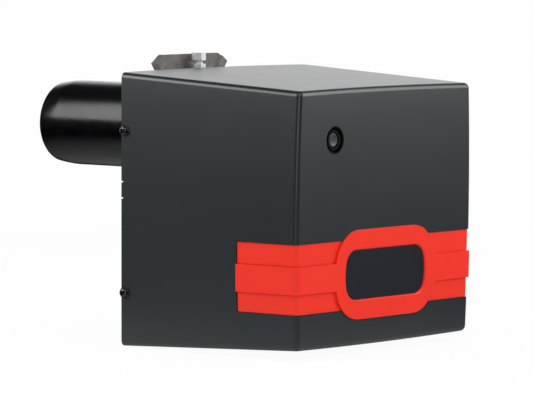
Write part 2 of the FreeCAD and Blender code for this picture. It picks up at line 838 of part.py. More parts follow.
def makeRearPlate():
    """Steel plate that closes the cover's back, with four bent tabs for the screws."""
    body = newBody("rear_plate")
    top = f"coverRearTop - coverWall - plateGap - {topTaper}"
    low = f"-coverRearBottom + coverWall + plateGap + {bottomTaper}"
    pad(body, "sheet", "XZ_Plane", plateFront, plateBack,
        roundedRectangle("-plateHalf", "plateHalf", low, top, "coverCorner"),
        circle("0", "0", "tubeDiameter + 1"), circle("-glandOffset", "-glandDrop", "glandDiameter + 0.2"),
        *[circle(x, z, "boltDiameter + 0.4") for x, z in tubeBolts])
    inner = "plateHalf - tabThickness"
    reliefs = []
    tabs = {"right": [], "left": []}
    for y, height in screwPlaces:
        span = (f"{height} - nutHex * 0.8", f"{height} + nutHex * 0.8")
        reliefs.append(rectangle(f"{inner} - screwLength + 3", inner, *span))
        reliefs.append(rectangle(f"-({inner})", f"-({inner}) + screwLength - 3", *span))
        for side in tabs:
            tabs[side].append(rectangle(f"{plateFront} - tabDepth", plateBack,
                                        f"{height} - tabHeight / 2", f"{height} + tabHeight / 2"))
    pocket(body, "reliefs", "XZ_Plane", f"{plateFront} - 1", f"{plateBack} + 1", *reliefs)
    pad(body, "tabs_right", "YZ_Plane", inner, "plateHalf", *tabs["right"])
    pad(body, "tabs_left", "YZ_Plane", "-plateHalf", f"-({inner})", *tabs["left"])
    holes = [circle(y, z, "screwDiameter + 0.2") for y, z in screwPlaces]
    pocket(body, "holes", "YZ_Plane", "-coverRearWidth", "coverRearWidth", *holes)


def makeBoilerFlange():
    """Cast plate with pointed upper horns, slotted stud holes and a collar that grips the tube."""
    body = newBody("boiler_flange")
    right = [("flangeTopWidth / 2", "flangeTop"), ("flangeHornWidth / 2", "flangeHornHeight"),
             ("flangeNotchWidth / 2", "flangeNotchHeight"), ("flangeWidth / 2", "flangeEar"),
             ("flangeWidth / 2", "-flangeEar"), ("flangeEar", "-flangeBottom")]
    left = [(f"-({x})", z) for x, z in reversed(right)]
    pad(body, "plate", "XZ_Plane", "-flangeThickness", "0", outline(right + left))
    wide = "flangeReliefWidth / 2"
    pocket(body, "relief", "XZ_Plane", "-flangeThickness", "-flangeThickness + flangeRelief",
           outline([(f"-({wide})", "bossTop - 6"), (wide, "bossTop - 6"), (wide, "bossTop + 4.5"),
                    (f"{wide} + 10.6", "flangeTop + 1"), (f"-({wide}) - 10.6", "flangeTop + 1"),
                    (f"-({wide})", "bossTop + 4.5")]))
    pad(body, "collar", "XZ_Plane", "-flangeThickness - collarLength", "-flangeThickness / 2",
        circle("0", "0", "collarDiameter"))
    pad(body, "boss", "XZ_Plane", "-flangeThickness - collarLength", "-flangeThickness / 2",
        rectangle("-bossWidth / 2", "bossWidth / 2", "tubeDiameter / 2", "bossTop"))
    pocket(body, "bore", "XZ_Plane", "-flangeThickness - collarLength - 1", "1",
           circle("0", "0", "tubeDiameter + 2 * tubeFit"))
    spots = [(f"{a}slotSpacing / 2", f"{b}slotHeightSpacing / 2") for a in ("", "-") for b in ("", "-")]
    pocket(body, "slots", "XZ_Plane", "-flangeThickness - collarLength - 1", "1",
           *[slot(x, z, "slotLength", "studHole") for x, z in spots])
    pocket(body, "screw_hole", "XY_Plane", "tubeDiameter / 2 - 2", "bossTop + 1",
           circle("0", setScrewY, "setScrewDiameter + 0.1"))


setScrewY = "-flangeThickness - collarLength / 2"


def makeSetScrew():
    body = newBody("flange_set_screw", "0", setScrewY)
    under = "bossTop + lockNutGap + lockNutHeight"
    pad(body, "shank", "XY_Plane", "tubeDiameter / 2 + 0.3", under, circle("0", "0", "setScrewDiameter"))
    pad(body, "head", "XY_Plane", under, f"{under} + setScrewHeadHeight", hexagon("0", "0", "setScrewHex"))


def makeLockNut():
    body = newBody("flange_lock_nut", "0", setScrewY)
    pad(body, "nut", "XY_Plane", "bossTop", "bossTop + lockNutHeight", hexagon("0", "0", "setScrewHex"),
        circle("0", "0", "setScrewDiameter + 0.1"))


def makeBlastTube():
    """Steel tube with a turned-in nose, and a flange held behind the rear plate."""
    body = newBody("blast_tube")
    outer = "tubeDiameter / 2"
    inner = "tubeDiameter / 2 - tubeWall"
    nose = "tubeReach - tubeNoseLength"
    mid = "tubeNoseLength * 0.55"
    sag = "tubeNoseDrop * 0.3"
    turn(body, "wall", "XY_Plane", "V_Axis", outline([
        (outer, plateFront), (outer, nose), (f"{outer} - {sag}", f"{nose} + {mid}"),
        (f"{outer} - tubeNoseDrop", "tubeReach"),
        (f"{outer} - tubeNoseDrop - tubeLip", "tubeReach"),
        (f"{outer} - tubeNoseDrop - tubeLip", "tubeReach - tubeWall"),
        (f"{inner} - tubeNoseDrop", "tubeReach - tubeWall"), (inner, nose),
        (inner, housingBack), ("tubeFlangeDiameter / 2", housingBack),
        ("tubeFlangeDiameter / 2", plateFront)]))
    pocket(body, "bolt_holes", "XZ_Plane", housingBack, plateFront,
           *[circle(x, z, "boltDiameter + 0.4") for x, z in tubeBolts])


reach = "tubeBoltCircle / 2 * cos(45)"
tubeBolts = [(f"{a}{reach}", f"{b}{reach}") for a in ("", "-") for b in ("", "-")]


def makeTubeScrews():
    """Hexagon bolts through the rear plate and the tube's flange into the casting."""
    body = newBody("tube_screws", several=True)
    pad(body, "heads", "XZ_Plane", plateBack, f"{plateBack} + boltHeadHeight",
        *[hexagon(x, z, "boltHead") for x, z in tubeBolts])
    pad(body, "shanks", "XZ_Plane", f"{housingBack} - 8", plateBack,
        *[circle(x, z, "boltDiameter") for x, z in tubeBolts])


def scroll(extra):
    """Three quarter turns of growing radius, and a straight rear wall up into the chamber."""
    small = f"scrollRadius + {extra}"
    middle = f"scrollRadius + scrollStep + {extra}"
    large = f"scrollRadius + 2 * scrollStep + {extra}"
    top = "fanDrop - chamberBottom + housingWall"
    return outline([
        ("-scrollStep", f"{small} - scrollStep"), (f"-({small}) - scrollStep", "-scrollStep"),
        ("-scrollStep", f"-({middle}) - scrollStep"), (f"{large} - scrollStep", "0"),
        (f"{large} - scrollStep", top), ("-scrollStep", top)],
        {0: (f"-scrollStep - ({small}) * cos(45)", f"-scrollStep + ({small}) * cos(45)"),
         1: (f"-scrollStep - ({middle} - scrollStep / 2) * cos(45)",
             f"-scrollStep - ({middle} - scrollStep / 2) * cos(45)"),
         2: (f"-scrollStep + ({large}) * cos(45)", f"-({large}) * cos(45)")})


def makeFanHousing():
    """Casting: a scroll round the fan below, and a square chamber above that feeds the tube."""
    body = newBody("fan_housing", "0", fanY, fanZ)
    back = f"fanBack + coverBack + {housingBack}"
    chamberFloor = "fanDrop - chamberBottom"
    chamberRoof = "fanDrop + chamberTop"
    chamberFace = "fanBack + coverBack - chamberFront"
    pad(body, "scroll", "YZ_Plane", housingLeft, housingRight, scroll("housingWall"))
    pad(body, "chamber", "YZ_Plane", "-chamberWidth / 2", "chamberWidth / 2",
        rectangle(chamberFace, back, chamberFloor, chamberRoof))
    pad(body, "mouth", "XZ_Plane", f"{back} - 6", back, circle("0", "fanDrop", "tubeFlangeDiameter"))
    pocket(body, "scroll_inside", "YZ_Plane", f"{housingLeft} + housingWall", f"{housingRight} + 1",
           scroll("0"))
    pocket(body, "chamber_inside", "YZ_Plane", "-chamberWidth / 2 + housingWall",
           "chamberWidth / 2 - housingWall",
           rectangle(f"{chamberFace} - 1", f"{back} - 8", f"{chamberFloor} + housingWall",
                     f"{chamberRoof} - housingWall"))
    pocket(body, "mouth_bore", "XZ_Plane", f"{back} - 9", f"{back} + 1",
           circle("0", "fanDrop", "tubeDiameter - 2 * tubeWall"))
    pocket(body, "intake", "YZ_Plane", f"{housingLeft} - 1", f"{housingLeft} + housingWall + 1",
           circle("0", "0", "intakeDiameter"))
    entry = [circle(f"fanBack + coverBack - {station}", "fanDrop + electrodeRise", "leadDiameter + 0.4")
             for station in ("leadEntry", "(leadEntry + leadEntryStep)")]
    pocket(body, "lead_holes", "YZ_Plane", "chamberWidth / 2 - housingWall - 1", "chamberWidth / 2 + 1",
           *entry)
    pocket(body, "bolt_holes", "XZ_Plane", f"{back} - 8.2", f"{back}",
           *[circle(x, f"fanDrop + ({z})", "boltDiameter + 0.1") for x, z in tubeBolts])


def makeSidePlate():
    """Flat cover of the scroll that carries the motor."""
    body = newBody("motor_side_plate", "0", fanY, fanZ)
    pad(body, "sheet", "YZ_Plane", housingRight, motorFace, scroll("housingWall"),
        circle("0", "0", "shaftDiameter + 6"))
    wide = "scrollRadius * 2"
    pocket(body, "top", "YZ_Plane", f"{housingRight} - 1", f"{motorFace} + 1",
           rectangle(f"-({wide})", wide, "fanDrop - chamberBottom", "fanDrop"))


def makeChamberDoor():
    """Front lid of the chamber, carrying the nozzle line and the photocell."""
    body = newBody("chamber_door")
    pad(body, "lid", "XZ_Plane", f"{chamberDoor} - doorThickness", chamberDoor,
        roundedRectangle("-chamberWidth / 2", "chamberWidth / 2", "-chamberBottom", "chamberTop", "4"),
        circle("0", "0", "holderDiameter + 0.2"),
        circle("-photocellOffset", "photocellRise", "photocellDiameter + 0.2"))


doorSpots = [(f"{a}(chamberWidth / 2 - 7)", z) for a in ("", "-")
             for z in ("chamberTop - 7", "-chamberBottom + 7")]


def makeDoorScrews():
    body = newBody("door_screws", several=True)
    front = f"{chamberDoor} - doorThickness"
    pad(body, "heads", "XZ_Plane", f"{front} - boltHeadHeight", front,
        *[circle(x, z, "boltHead") for x, z in doorSpots])


def makeFanWheel():
    """Forward-curved wheel: back plate and hub, a ring of blades and a front ring."""
    body = newBody("fan_wheel", "0", fanY, fanZ)
    rim = "fanDiameter / 2"
    right = "fanWidth / 2"
    left = "-fanWidth / 2"
    bore = "shaftDiameter / 2"
    turn(body, "disc", "XY_Plane", "H_Axis", outline([
        (right, bore), (right, rim), (f"{right} - fanPlateThickness", rim),
        (f"{right} - fanPlateThickness", "fanHubDiameter / 2"),
        (f"{right} - fanHubLength", "fanHubDiameter / 2"), (f"{right} - fanHubLength", bore)]))
    inner = "fanInnerDiameter / 2"
    lag = "fanBladeSweep"
    thick = "fanBladeThickness"
    blade = pad(body, "blade", "YZ_Plane", left, f"{right} - fanPlateThickness", outline([
        ("0", f"{inner} - 0.5"), (thick, f"{inner} - 0.5"), (f"{thick} + {lag}", f"{rim} - 0.8"),
        (f"{lag}", f"{rim} - 0.8")],
        {1: (f"{thick} + {lag} * 0.28", f"({inner} + {rim}) / 2"),
         3: (f"{lag} * 0.28", f"({inner} + {rim}) / 2")}))
    around(body, "blades", blade, "X_Axis", "fanBladeCount")
    pad(body, "ring", "YZ_Plane", left, f"{left} + fanPlateThickness", circle("0", "0", "fanDiameter"),
        circle("0", "0", "fanInnerDiameter + 2"))


def makeMotor():
    body = newBody("motor_housing", "0", fanY, fanZ)
    end = f"{motorFace} + motorLength"
    bore = "shaftDiameter / 2 + shaftFit"
    wide = "motorDiameter / 2"
    turn(body, "can", "XY_Plane", "H_Axis", outline([
        (motorFace, bore), (motorFace, f"{wide} - 8"), (f"{motorFace} + 4", f"{wide} - 8"),
        (f"{motorFace} + 8", wide), (end, wide), (end, bore)]))
    fin = pad(body, "fin", "YZ_Plane", f"{motorFace} + 14", f"{end} - 4",
              rectangle("-motorFinWidth / 2", "motorFinWidth / 2", f"{wide} - 1", f"{wide} + motorFinHeight"))
    around(body, "fins", fin, "X_Axis", "motorFinCount")


def makeMotorCap():
    body = newBody("motor_end_cap", "0", fanY, fanZ)
    low = f"{motorFace} + motorLength"
    high = f"{low} + motorCapLength"
    wide = "motorCapDiameter / 2"
    turn(body, "cap", "XY_Plane", "H_Axis", outline([
        (low, "0"), (low, wide), (f"{low} + 6", wide), (f"{high} - 3", f"{wide} - 3"),
        (high, f"{wide} - 9"), (high, "0")]))


def makeShaft():
    body = newBody("motor_shaft", "0", fanY, fanZ)
    pad(body, "bar", "YZ_Plane", f"{housingLeft} - 4", f"{motorFace} + shaftDepth",
        circle("0", "0", "shaftDiameter"))


def makeCoupling():
    body = newBody("pump_coupling", "0", fanY, fanZ)
    right = f"{housingLeft} - 4"
    pad(body, "sleeve", "YZ_Plane", f"{right} - couplingLength", right, circle("0", "0", "couplingDiameter"))


def makePumpShaft():
    body = newBody("pump_shaft", "0", fanY, fanZ)
    pad(body, "bar", "YZ_Plane", f"{pumpFace} - 12", f"{housingLeft} - 4 - couplingLength",
        circle("0", "0", "pumpShaftDiameter"))


def makeCapacitor():
    body = newBody("motor_capacitor", "capacitorOffset", "0", "capacitorHeight")
    can = pad(body, "can", "XZ_Plane", f"{plateFront} - capacitorLength", plateFront,
              circle("0", "0", "capacitorDiameter"))
    blend(body, "shoulder", can, "capacitorBevel",
          lambda edge: edge.Vertexes[0].Point.y < number(plateFront) - 5, "Chamfer")


def makeAirCase():
    """Moulded box on the scroll's intake, open below at the damper."""
    body = newBody("air_case", "0", fanY, fanZ)
    high = "caseHeight / 2"
    half = "caseLength / 2"
    pad(body, "box", "YZ_Plane", caseLeft, housingLeft,
        roundedRectangle(f"-({half})", half, f"-({high})", high, "caseCorner"))
    pocket(body, "inside", "YZ_Plane", f"{caseLeft} + caseWall", f"{housingLeft} + 1",
           roundedRectangle(f"-({half}) + caseWall", f"{half} - caseWall", f"-({high}) + caseWall",
                            f"{high} - caseWall", "caseCorner - caseWall"))
    pocket(body, "mouth", "XY_Plane", f"-({high}) - 1", f"-({high}) + caseWall + 1",
           rectangle(f"{caseLeft} + caseWall", f"{housingLeft} - caseWall",
                     f"-({half}) + caseWall + mouthMargin", f"{half} - caseWall - mouthMargin"))
    pocket(body, "hub", "YZ_Plane", f"{caseLeft} - 1", f"{caseLeft} + caseWall + 1",
           circle("0", "0", "pumpHub + 0.2"))
    pocket(body, "spindle_holes", "XZ_Plane", f"-({half}) - 1", f"{half} + 1",
           circle(spindleX, f"{spindleZ} + fanDrop", "spindleDiameter + 2 * spindleFit"))


def makeDamper():
    body = newBody("air_damper", spindleX, fanY, spindleZ)
    half = "caseDepth / 2 - caseWall - flapClearance"
    long = "caseLength / 2 - caseWall - flapClearance"
    pad(body, "flap", "XY_Plane", "-flapThickness / 2", "flapThickness / 2",
        rectangle(f"-({half})", half, f"-({long})", long))
    pad(body, "barrel", "XZ_Plane", f"-({long})", long, circle("0", "0", "spindleDiameter + 2"))
    pocket(body, "bore", "XZ_Plane", f"-({long}) - 1", f"{long} + 1", circle("0", "0", "spindleDiameter"))


leverFace = "-caseLength / 2 - scaleThickness - 0.4"


def makeSpindle():
    body = newBody("damper_spindle", spindleX, fanY, spindleZ)
    pad(body, "rod", "XZ_Plane", f"{leverFace} - leverThickness", "caseLength / 2 + 2",
        circle("0", "0", "spindleDiameter"))


def makeLever():
    """Pointer on the spindle's front end."""
    body = newBody("damper_lever", spindleX, fanY, spindleZ)
    pad(body, "arm", "XZ_Plane", f"{leverFace} - leverThickness", leverFace, outline([
        ("-leverWidth / 2", "0"), ("-leverWidth / 6", "-leverLength"), ("leverWidth / 6", "-leverLength"),
        ("leverWidth / 2", "0")], {3: ("0", "leverWidth / 2")}), circle("0", "-0.001", "spindleDiameter"))


def makeScale():
    """Quarter plate behind the pointer."""
    body = newBody("damper_scale", spindleX, fanY, spindleZ)
    front = "-caseLength / 2 - scaleThickness"
    pad(body, "plate", "XZ_Plane", front, "-caseLength / 2", outline([
        ("6", "6"), ("-scaleRadius", "6"), ("-scaleRadius", "0"), ("0", "-scaleRadius"),
        ("6", "-scaleRadius")],
        {2: ("-scaleRadius * cos(45)", "-scaleRadius * cos(45)")}),
        circle("0", "0", "spindleDiameter + 1"))


def makePump():
    """Gear pump: square body with a hub into the air case, and two threaded ports below."""
    body = newBody("oil_pump", "0", fanY, fanZ)
    half = "pumpSide / 2"
    block = f"{pumpFace} - pumpDepth"
    pad(body, "block", "YZ_Plane", block, pumpFace,
        roundedRectangle(f"-({half})", half, f"-({half})", half, "pumpCorner"))
    pad(body, "hub", "YZ_Plane", pumpFace, f"{pumpFace} + caseWall + 3", circle("0", "0", "pumpHub"))
    ports = [(f"{pumpFace} - pumpDepth / 2", f"{sign}portSpacing / 2") for sign in ("", "-")]
    pad(body, "bosses", "XY_Plane", f"-({half}) - portBossHeight", f"-({half}) + 1",
        *[circle(x, y, "portBoss") for x, y in ports])
    low = f"-({half}) - portBossHeight"
    pocket(body, "port_bores", "XY_Plane", low, f"{low} + portDepth",
           *[circle(x, y, "portBore") for x, y in ports])
    pocket(body, "shaft_bore", "YZ_Plane", f"{pumpFace} - 14", f"{pumpFace} + caseWall + 4",
           circle("0", "0", "pumpShaftDiameter + 2 * shaftFit"))


def makePumpCover():
    body = newBody("oil_pump_cover", "0", fanY, fanZ)
    low = f"{pumpFace} - pumpDepth"
    wide = "pumpCoverDiameter / 2"
    turn(body, "cap", "XY_Plane", "H_Axis", outline([
        (low, "0"), (low, wide), (f"{low} - pumpCoverDepth + 3", wide),
        (f"{low} - pumpCoverDepth", f"{wide} - 3"), (f"{low} - pumpCoverDepth", "0")]))


def makePumpScrews():
    """Cap screws of the pump's cover."""
    body = newBody("pump_screws", "0", fanY, fanZ, several=True)
    low = f"{pumpFace} - pumpDepth - smallBoltHeadHeight"
    spots = [(f"{a}(pumpSide / 2 - 5)", f"{b}(pumpSide / 2 - 5)") for a in ("", "-") for b in ("", "-")]
    pad(body, "heads", "YZ_Plane", low, f"{pumpFace} - pumpDepth",
        *[circle(y, z, "smallBoltHead") for y, z in spots])


def makeRegulator():
    body = newBody("pressure_screw", f"{pumpFace} - pumpDepth / 2", f"{fanY}", fanZ)
    pad(body, "screw", "XZ_Plane", "pumpSide / 2", "pumpSide / 2 + regulatorLength",
        hexagon("0", "0", "regulatorDiameter"))


def makeSolenoidStem():
    body = newBody("solenoid_stem", f"{pumpFace} - pumpDepth / 2", fanY, fanZ)
    pad(body, "stem", "XY_Plane", "pumpSide / 2", "pumpSide / 2 + stemHeight",
        circle("0", "0", "stemDiameter"))
    pad(body, "foot", "XY_Plane", "pumpSide / 2", "pumpSide / 2 + 4", hexagon("0", "0", "stemDiameter + 8"))


def makeSolenoidCoil():
    body = newBody("solenoid_coil", f"{pumpFace} - pumpDepth / 2", fanY, fanZ)
    half = "coilSide / 2"
    pad(body, "block", "XY_Plane", "pumpSide / 2 + 4", "pumpSide / 2 + 4 + coilHeight",
        roundedRectangle(f"-({half})", half, f"-({half})", half, "4"), circle("0", "0", "stemDiameter + 0.2"))


def makeNozzleHolder():
    """Oil line along the tube's axis with an elbow block in front of the chamber."""
    body = newBody("nozzle_holder")
    pad(body, "line", "XZ_Plane", "-holderFront", f"{holderEnd} - nozzleHexLength - 2",
        circle("0", "0", "holderDiameter"))
    pad(body, "elbow", "XZ_Plane", "-holderFront - holderDiameter", "-holderFront",
        rectangle("-holderDiameter / 2", "holderDiameter / 2", "-holderDiameter / 2", "holderDiameter / 2"))


def makeNozzle():
    """Hexagon brass nozzle with a turned cone."""
    body = newBody("nozzle")
    start = f"{holderEnd} - nozzleHexLength - 2"
    pad(body, "hex", "XZ_Plane", start, f"{start} + nozzleHexLength", hexagon("0", "0", "nozzleHex"))
    turn(body, "cone", "XY_Plane", "V_Axis", outline([
        ("0", f"{start} + nozzleHexLength - 1"), ("nozzleHex / 2 - 1", f"{start} + nozzleHexLength - 1"),
        ("nozzleHex / 2 - 1", f"{start} + nozzleHexLength + 3"), ("nozzleTip / 2", f"{start} + nozzleLength"),
        ("0", f"{start} + nozzleLength")]))


diffuserY = "tubeReach - diffuserSetback"


def makeDiffuser():
    """Slotted turbulator disc round the nozzle's tip."""
    body = newBody("diffuser_disc")
    pad(body, "disc", "XZ_Plane", diffuserY, f"{diffuserY} + diffuserThickness",
        circle("0", "0", "diffuserDiameter"), circle("0", "0", "diffuserBore"))
    cut = pocket(body, "slot", "XZ_Plane", f"{diffuserY} - 1", f"{diffuserY} + diffuserThickness + 1",
                 outline([("-diffuserSlotWidth / 2", "diffuserBore / 2 + 4"),
                          ("diffuserSlotWidth / 2", "diffuserBore / 2 + 4"),
                          ("diffuserSlotWidth / 2 + 4", "diffuserDiameter / 2 - 8"),
                          ("-diffuserSlotWidth / 2 + 4", "diffuserDiameter / 2 - 8")]))
    around(body, "slots", cut, "Y_Axis", "diffuserSlotCount")


def makeSupport():
    """Ring clamped on the oil line with two legs that hold the disc."""
    body = newBody("diffuser_support")
    start = f"{holderEnd} - nozzleHexLength - 20"
    pad(body, "ring", "XZ_Plane", start, f"{start} + 10",
        circle("0", "0", "holderDiameter + 8"), circle("0", "0", "holderDiameter + 0.1"))
    arm = [rectangle("-supportWidth / 2", "supportWidth / 2", "-supportReach", "-holderDiameter / 2 - 2")]
    pad(body, "arm", "XZ_Plane", start, f"{start} + supportThickness", *arm)
    pad(body, "leg", "XZ_Plane", start, diffuserY,
        rectangle("-supportWidth / 2", "supportWidth / 2", "-supportReach",
                  "-supportReach + supportThickness"))


def makeInsulators():
    """Two ceramic tubes round the ignition rods."""
    body = newBody("electrode_insulators", several=True)
    end = f"{diffuserY} - 14"
    places = [("electrodeSpread", "electrodeRise"), ("-electrodeSpread", "electrodeRise")]
    shapes = []
    for x, z in places:
        shapes += [circle(x, z, "insulatorDiameter"), circle(x, z, "rodDiameter + 0.1")]
    pad(body, "tubes", "XZ_Plane", f"{end} - insulatorLength", end, *shapes)


def makeRods():
    """Ignition rods, bent in towards the nozzle's tip past the disc's bore."""
    body = newBody("electrode_rods", several=True)
    start = f"{diffuserY} - 14 - insulatorLength - 14"
    bend = f"{diffuserY} - 6"
    pad(body, "bars", "XZ_Plane", start, bend,
        *[circle(x, "electrodeRise", "rodDiameter") for x in ("electrodeSpread", "-electrodeSpread")])
    half = "rodDiameter * 0.4"
    tips = []
    for side in ("", "-"):
        outer = f"{side}(electrodeSpread + {half})"
        inner = f"{side}(electrodeSpread - {half})"
        tips.append(outline([(outer, f"{bend} - 1"), (outer, f"{bend} + {half}"),
                             (f"{side}rodGap / 2", f"{bend} + rodTip"),
                             (f"{side}rodGap / 2", f"{bend} + rodTip - 2 * {half}"),
                             (inner, f"{bend} - {half}"), (inner, f"{bend} - 1")]))
    pad(body, "tips", "XY_Plane", f"electrodeRise - {half}", f"electrodeRise + {half}", *tips)


def makeClamp():
    """Block that holds both insulators on the oil line."""
    body = newBody("electrode_clamp")
    start = f"{diffuserY} - 14 - insulatorLength + 12"
    wide = "electrodeSpread + insulatorDiameter / 2 + clampWall"
    pad(body, "block", "XZ_Plane", start, f"{start} + clampLength",
        rectangle(f"-({wide})", wide, "-3", "electrodeRise + insulatorDiameter / 2 + clampWall"),
        circle("electrodeSpread", "electrodeRise", "insulatorDiameter + 0.1"),
        circle("-electrodeSpread", "electrodeRise", "insulatorDiameter + 0.1"))
    pocket(body, "saddle", "XZ_Plane", f"{start} - 1", f"{start} + clampLength + 1",
           circle("0", "0", "holderDiameter + 0.1"))


def makePhotocell():
    body = newBody("photocell", "-photocellOffset", "0", "photocellRise")
    front = f"{chamberDoor} - doorThickness"
    pad(body, "barrel", "XZ_Plane", f"{front} - 12", f"{front} + photocellLength - 12",
        circle("0", "0", "photocellDiameter"))
    pad(body, "collar", "XZ_Plane", f"{front} - 12", front, circle("0", "0", "photocellDiameter + 5"))


def makeTransformer():
    """Ignition transformer, a potted block on four short legs against the chamber."""
    body = newBody("ignition_transformer", "chamberWidth / 2", "-transformerFront", "transformerTop")
    block = pad(body, "block", "YZ_Plane", "transformerLeg", "transformerDepth",
                rectangle("0", "transformerLength", "-transformerHeight", "0"))
    blend(body, "edges", block, "4", alongX)
    feet = [rectangle(y, f"{y} + 8", z, f"{z} + 8") for y in ("6", "transformerLength - 14")
            for z in ("-14", "-transformerHeight + 6")]
    pad(body, "feet", "YZ_Plane", "0", "transformerLeg", *feet)


def makeLeads():
    """High-voltage leads from the transformer through the chamber's wall to the rods, made as swept tubes."""
    rise = number("electrodeRise")
    bend = number("leadBend")
    radius = number("leadDiameter / 2")
    start = number("chamberWidth / 2 + transformerLeg")
    end = number(f"{diffuserY} - 14 - insulatorLength - 2")
    leads = []
    for side, station in ((1, "leadEntry"), (-1, "leadEntry + leadEntryStep")):
        entry = -number(station)
        along = side * number("electrodeSpread")
        first = FreeCAD.Vector(start, entry, rise)
        before = FreeCAD.Vector(along + bend, entry, rise)
        after = FreeCAD.Vector(along, entry + bend, rise)
        middle = FreeCAD.Vector(along + bend * (1 - math.cos(math.pi / 4)),
                                entry + bend * (1 - math.sin(math.pi / 4)), rise)
        last = FreeCAD.Vector(along, end, rise)
        path = Part.Wire([Part.makeLine(first, before), Part.Arc(before, middle, after).toShape(),
                          Part.makeLine(after, last)])
        ring = Part.Wire([Part.makeCircle(radius, first, FreeCAD.Vector(-1, 0, 0))])
        tube = path.makePipeShell([ring], True, False)
        bore = Part.makeCylinder(number("rodDiameter / 2 + 0.05"), 14, FreeCAD.Vector(along, end - 12, rise),
                                 FreeCAD.Vector(0, 1, 0))
        leads.append(tube.cut(bore))
    addShape("ignition_leads", Part.makeCompound(leads))


def addShape(label, shape):
    item = document.addObject("Part::Feature", label)
    item.Label = label
    item.Shape = shape
    item.Placement = FreeCAD.Placement()
    nodes.append(item)
    return item


def makePipe():
    """Copper oil pipe from the pump up to the elbow block, with arcs at its two bends."""
    bend = number("pipeBend")
    front = -number("pipeFront")
    drop = -number("pipeDrop")
    x = number(f"{pumpFace} - pumpDepth / 2")
    start = FreeCAD.Vector(x, number(f"{fanY} - pumpSide / 2 - unionLength"), drop)
    corner = FreeCAD.Vector(x, front, drop)
    under = FreeCAD.Vector(0, front, drop)
    end = FreeCAD.Vector(0, front, -number("holderDiameter / 2 + unionLength"))
    points = [start, corner, under, end]
    edges = []
    last = start
    for before, turnPoint, after in zip(points, points[1:], points[2:]):
        inward = (before - turnPoint).normalize()
        onward = (after - turnPoint).normalize()
        begin = turnPoint + inward * bend
        finish = turnPoint + onward * bend
        centre = turnPoint + (inward + onward) * bend
        middle = centre - (inward + onward).normalize() * bend
        edges.append(Part.makeLine(last, begin))
        edges.append(Part.Arc(begin, middle, finish).toShape())
        last = finish
    edges.append(Part.makeLine(last, end))
    ring = Part.Wire([Part.makeCircle(number("pipeDiameter / 2"), start, FreeCAD.Vector(0, -1, 0))])
    addShape("oil_pipe", Part.Wire(edges).makePipeShell([ring], True, False))


def makeUnions():
    """Union nuts at both ends of the oil pipe."""
    body = newBody("pipe_unions", several=True)
    x = f"{pumpFace} - pumpDepth / 2"
    front = f"{fanY} - pumpSide / 2"
    pad(body, "pump_end", "XZ_Plane", f"{front} - unionLength", front,
        hexagon(f"({x})", "-pipeDrop", "unionNut"))
    pad(body, "line_end", "XY_Plane", "-holderDiameter / 2 - unionLength", "-holderDiameter / 2",
        hexagon("0", "-pipeFront", "unionNut"))


def makeControlBox():
    """Sequence controller, with a round guide for the reset button in its face."""
    body = newBody("control_box", "-boxInner", "-boxFront", "boxTop")
    block = pad(body, "block", "XZ_Plane", "0", "boxDepth", rectangle("-boxWidth", "0", "-boxHeight", "0"))
    blend(body, "edges", block, "boxRound", lambda edge: edge.CenterOfMass.y < number("boxDepth * 0.75"))
    pocket(body, "guide", "XZ_Plane", "-1", "guideDepth",
           circle("boxInner - buttonOffset", "-boxTop", "buttonDiameter + 0.1"))


def makeControlBase():
    """Plug-in base with terminals, fastened to the side of the chamber."""
    body = newBody("control_box_base", "-chamberWidth / 2", "-boxFront + boxDepth", "boxTop - 2")
    pad(body, "block", "XZ_Plane", "0", "baseDepth",
        rectangle("-(boxInner - chamberWidth / 2) - boxWidth + 2", "0", "-boxHeight + 4", "0"))


def makeTerminal():
    body = newBody("terminal_block", "-terminalOffset", "0", "terminalRise")
    half = "terminalWidth / 2"
    pad(body, "block", "XZ_Plane", f"{plateFront} - terminalDepth", plateFront,
        rectangle(f"-({half})", half, "-terminalHeight / 2", "terminalHeight / 2"))
    wells = [circle(f"{i} * terminalWidth / 6 - terminalWidth / 2 + terminalWidth / 12", "0", "6")
             for i in range(6)]
    pocket(body, "wells", "XZ_Plane", f"{plateFront} - terminalDepth - 1",
           f"{plateFront} - terminalDepth + 5", *wells)


def makeGland():
    """Cable gland through the rear plate for the mains lead."""
    body = newBody("cable_gland", "-glandOffset", "0", "-glandDrop")
    hollow = circle("0", "0", "glandBore")
    pad(body, "barrel", "XZ_Plane", f"{plateFront} - glandLength / 2", f"{plateBack} + glandLength / 3",
        circle("0", "0", "glandDiameter"), hollow)
    pad(body, "outer_nut", "XZ_Plane", plateBack, f"{plateBack} + glandHexLength",
        hexagon("0", "0", "glandHex"), circle("0", "0", "glandBore"))
    pad(body, "inner_nut", "XZ_Plane", f"{plateFront} - glandHexLength", plateFront,
        hexagon("0", "0", "glandHex"), circle("0", "0", "glandBore"))


makeBoilerFlange()
makeSetScrew()
makeLockNut()
makeRearPlate()
makeScrewNuts()
makeCoverScrews()
makeBlastTube()
makeTubeScrews()
makeFanHousing()
makeSidePlate()
makeChamberDoor()
makeDoorScrews()
makeMotor()
makeMotorCap()
makeCapacitor()
makeShaft()
makeFanWheel()
makeCoupling()
makePumpShaft()
makeAirCase()
makeDamper()
makeSpindle()
makeLever()
makeScale()
makePump()
makePumpCover()
makePumpScrews()
makeRegulator()
makeSolenoidStem()
makeSolenoidCoil()
makeNozzleHolder()
makeNozzle()
makeDiffuser()
makeSupport()
makeInsulators()
makeRods()
makeClamp()
makePhotocell()
makeTransformer()
makeLeads()
makePipe()
makeUnions()
makeControlBox()
makeControlBase()
makeTerminal()
makeGland()
makeResetButton()
makeCoverShell()
makeTrimBand()
makeTrimFrame()
makeBadgePlate()
makeButtonSleeve()
document.recompute()

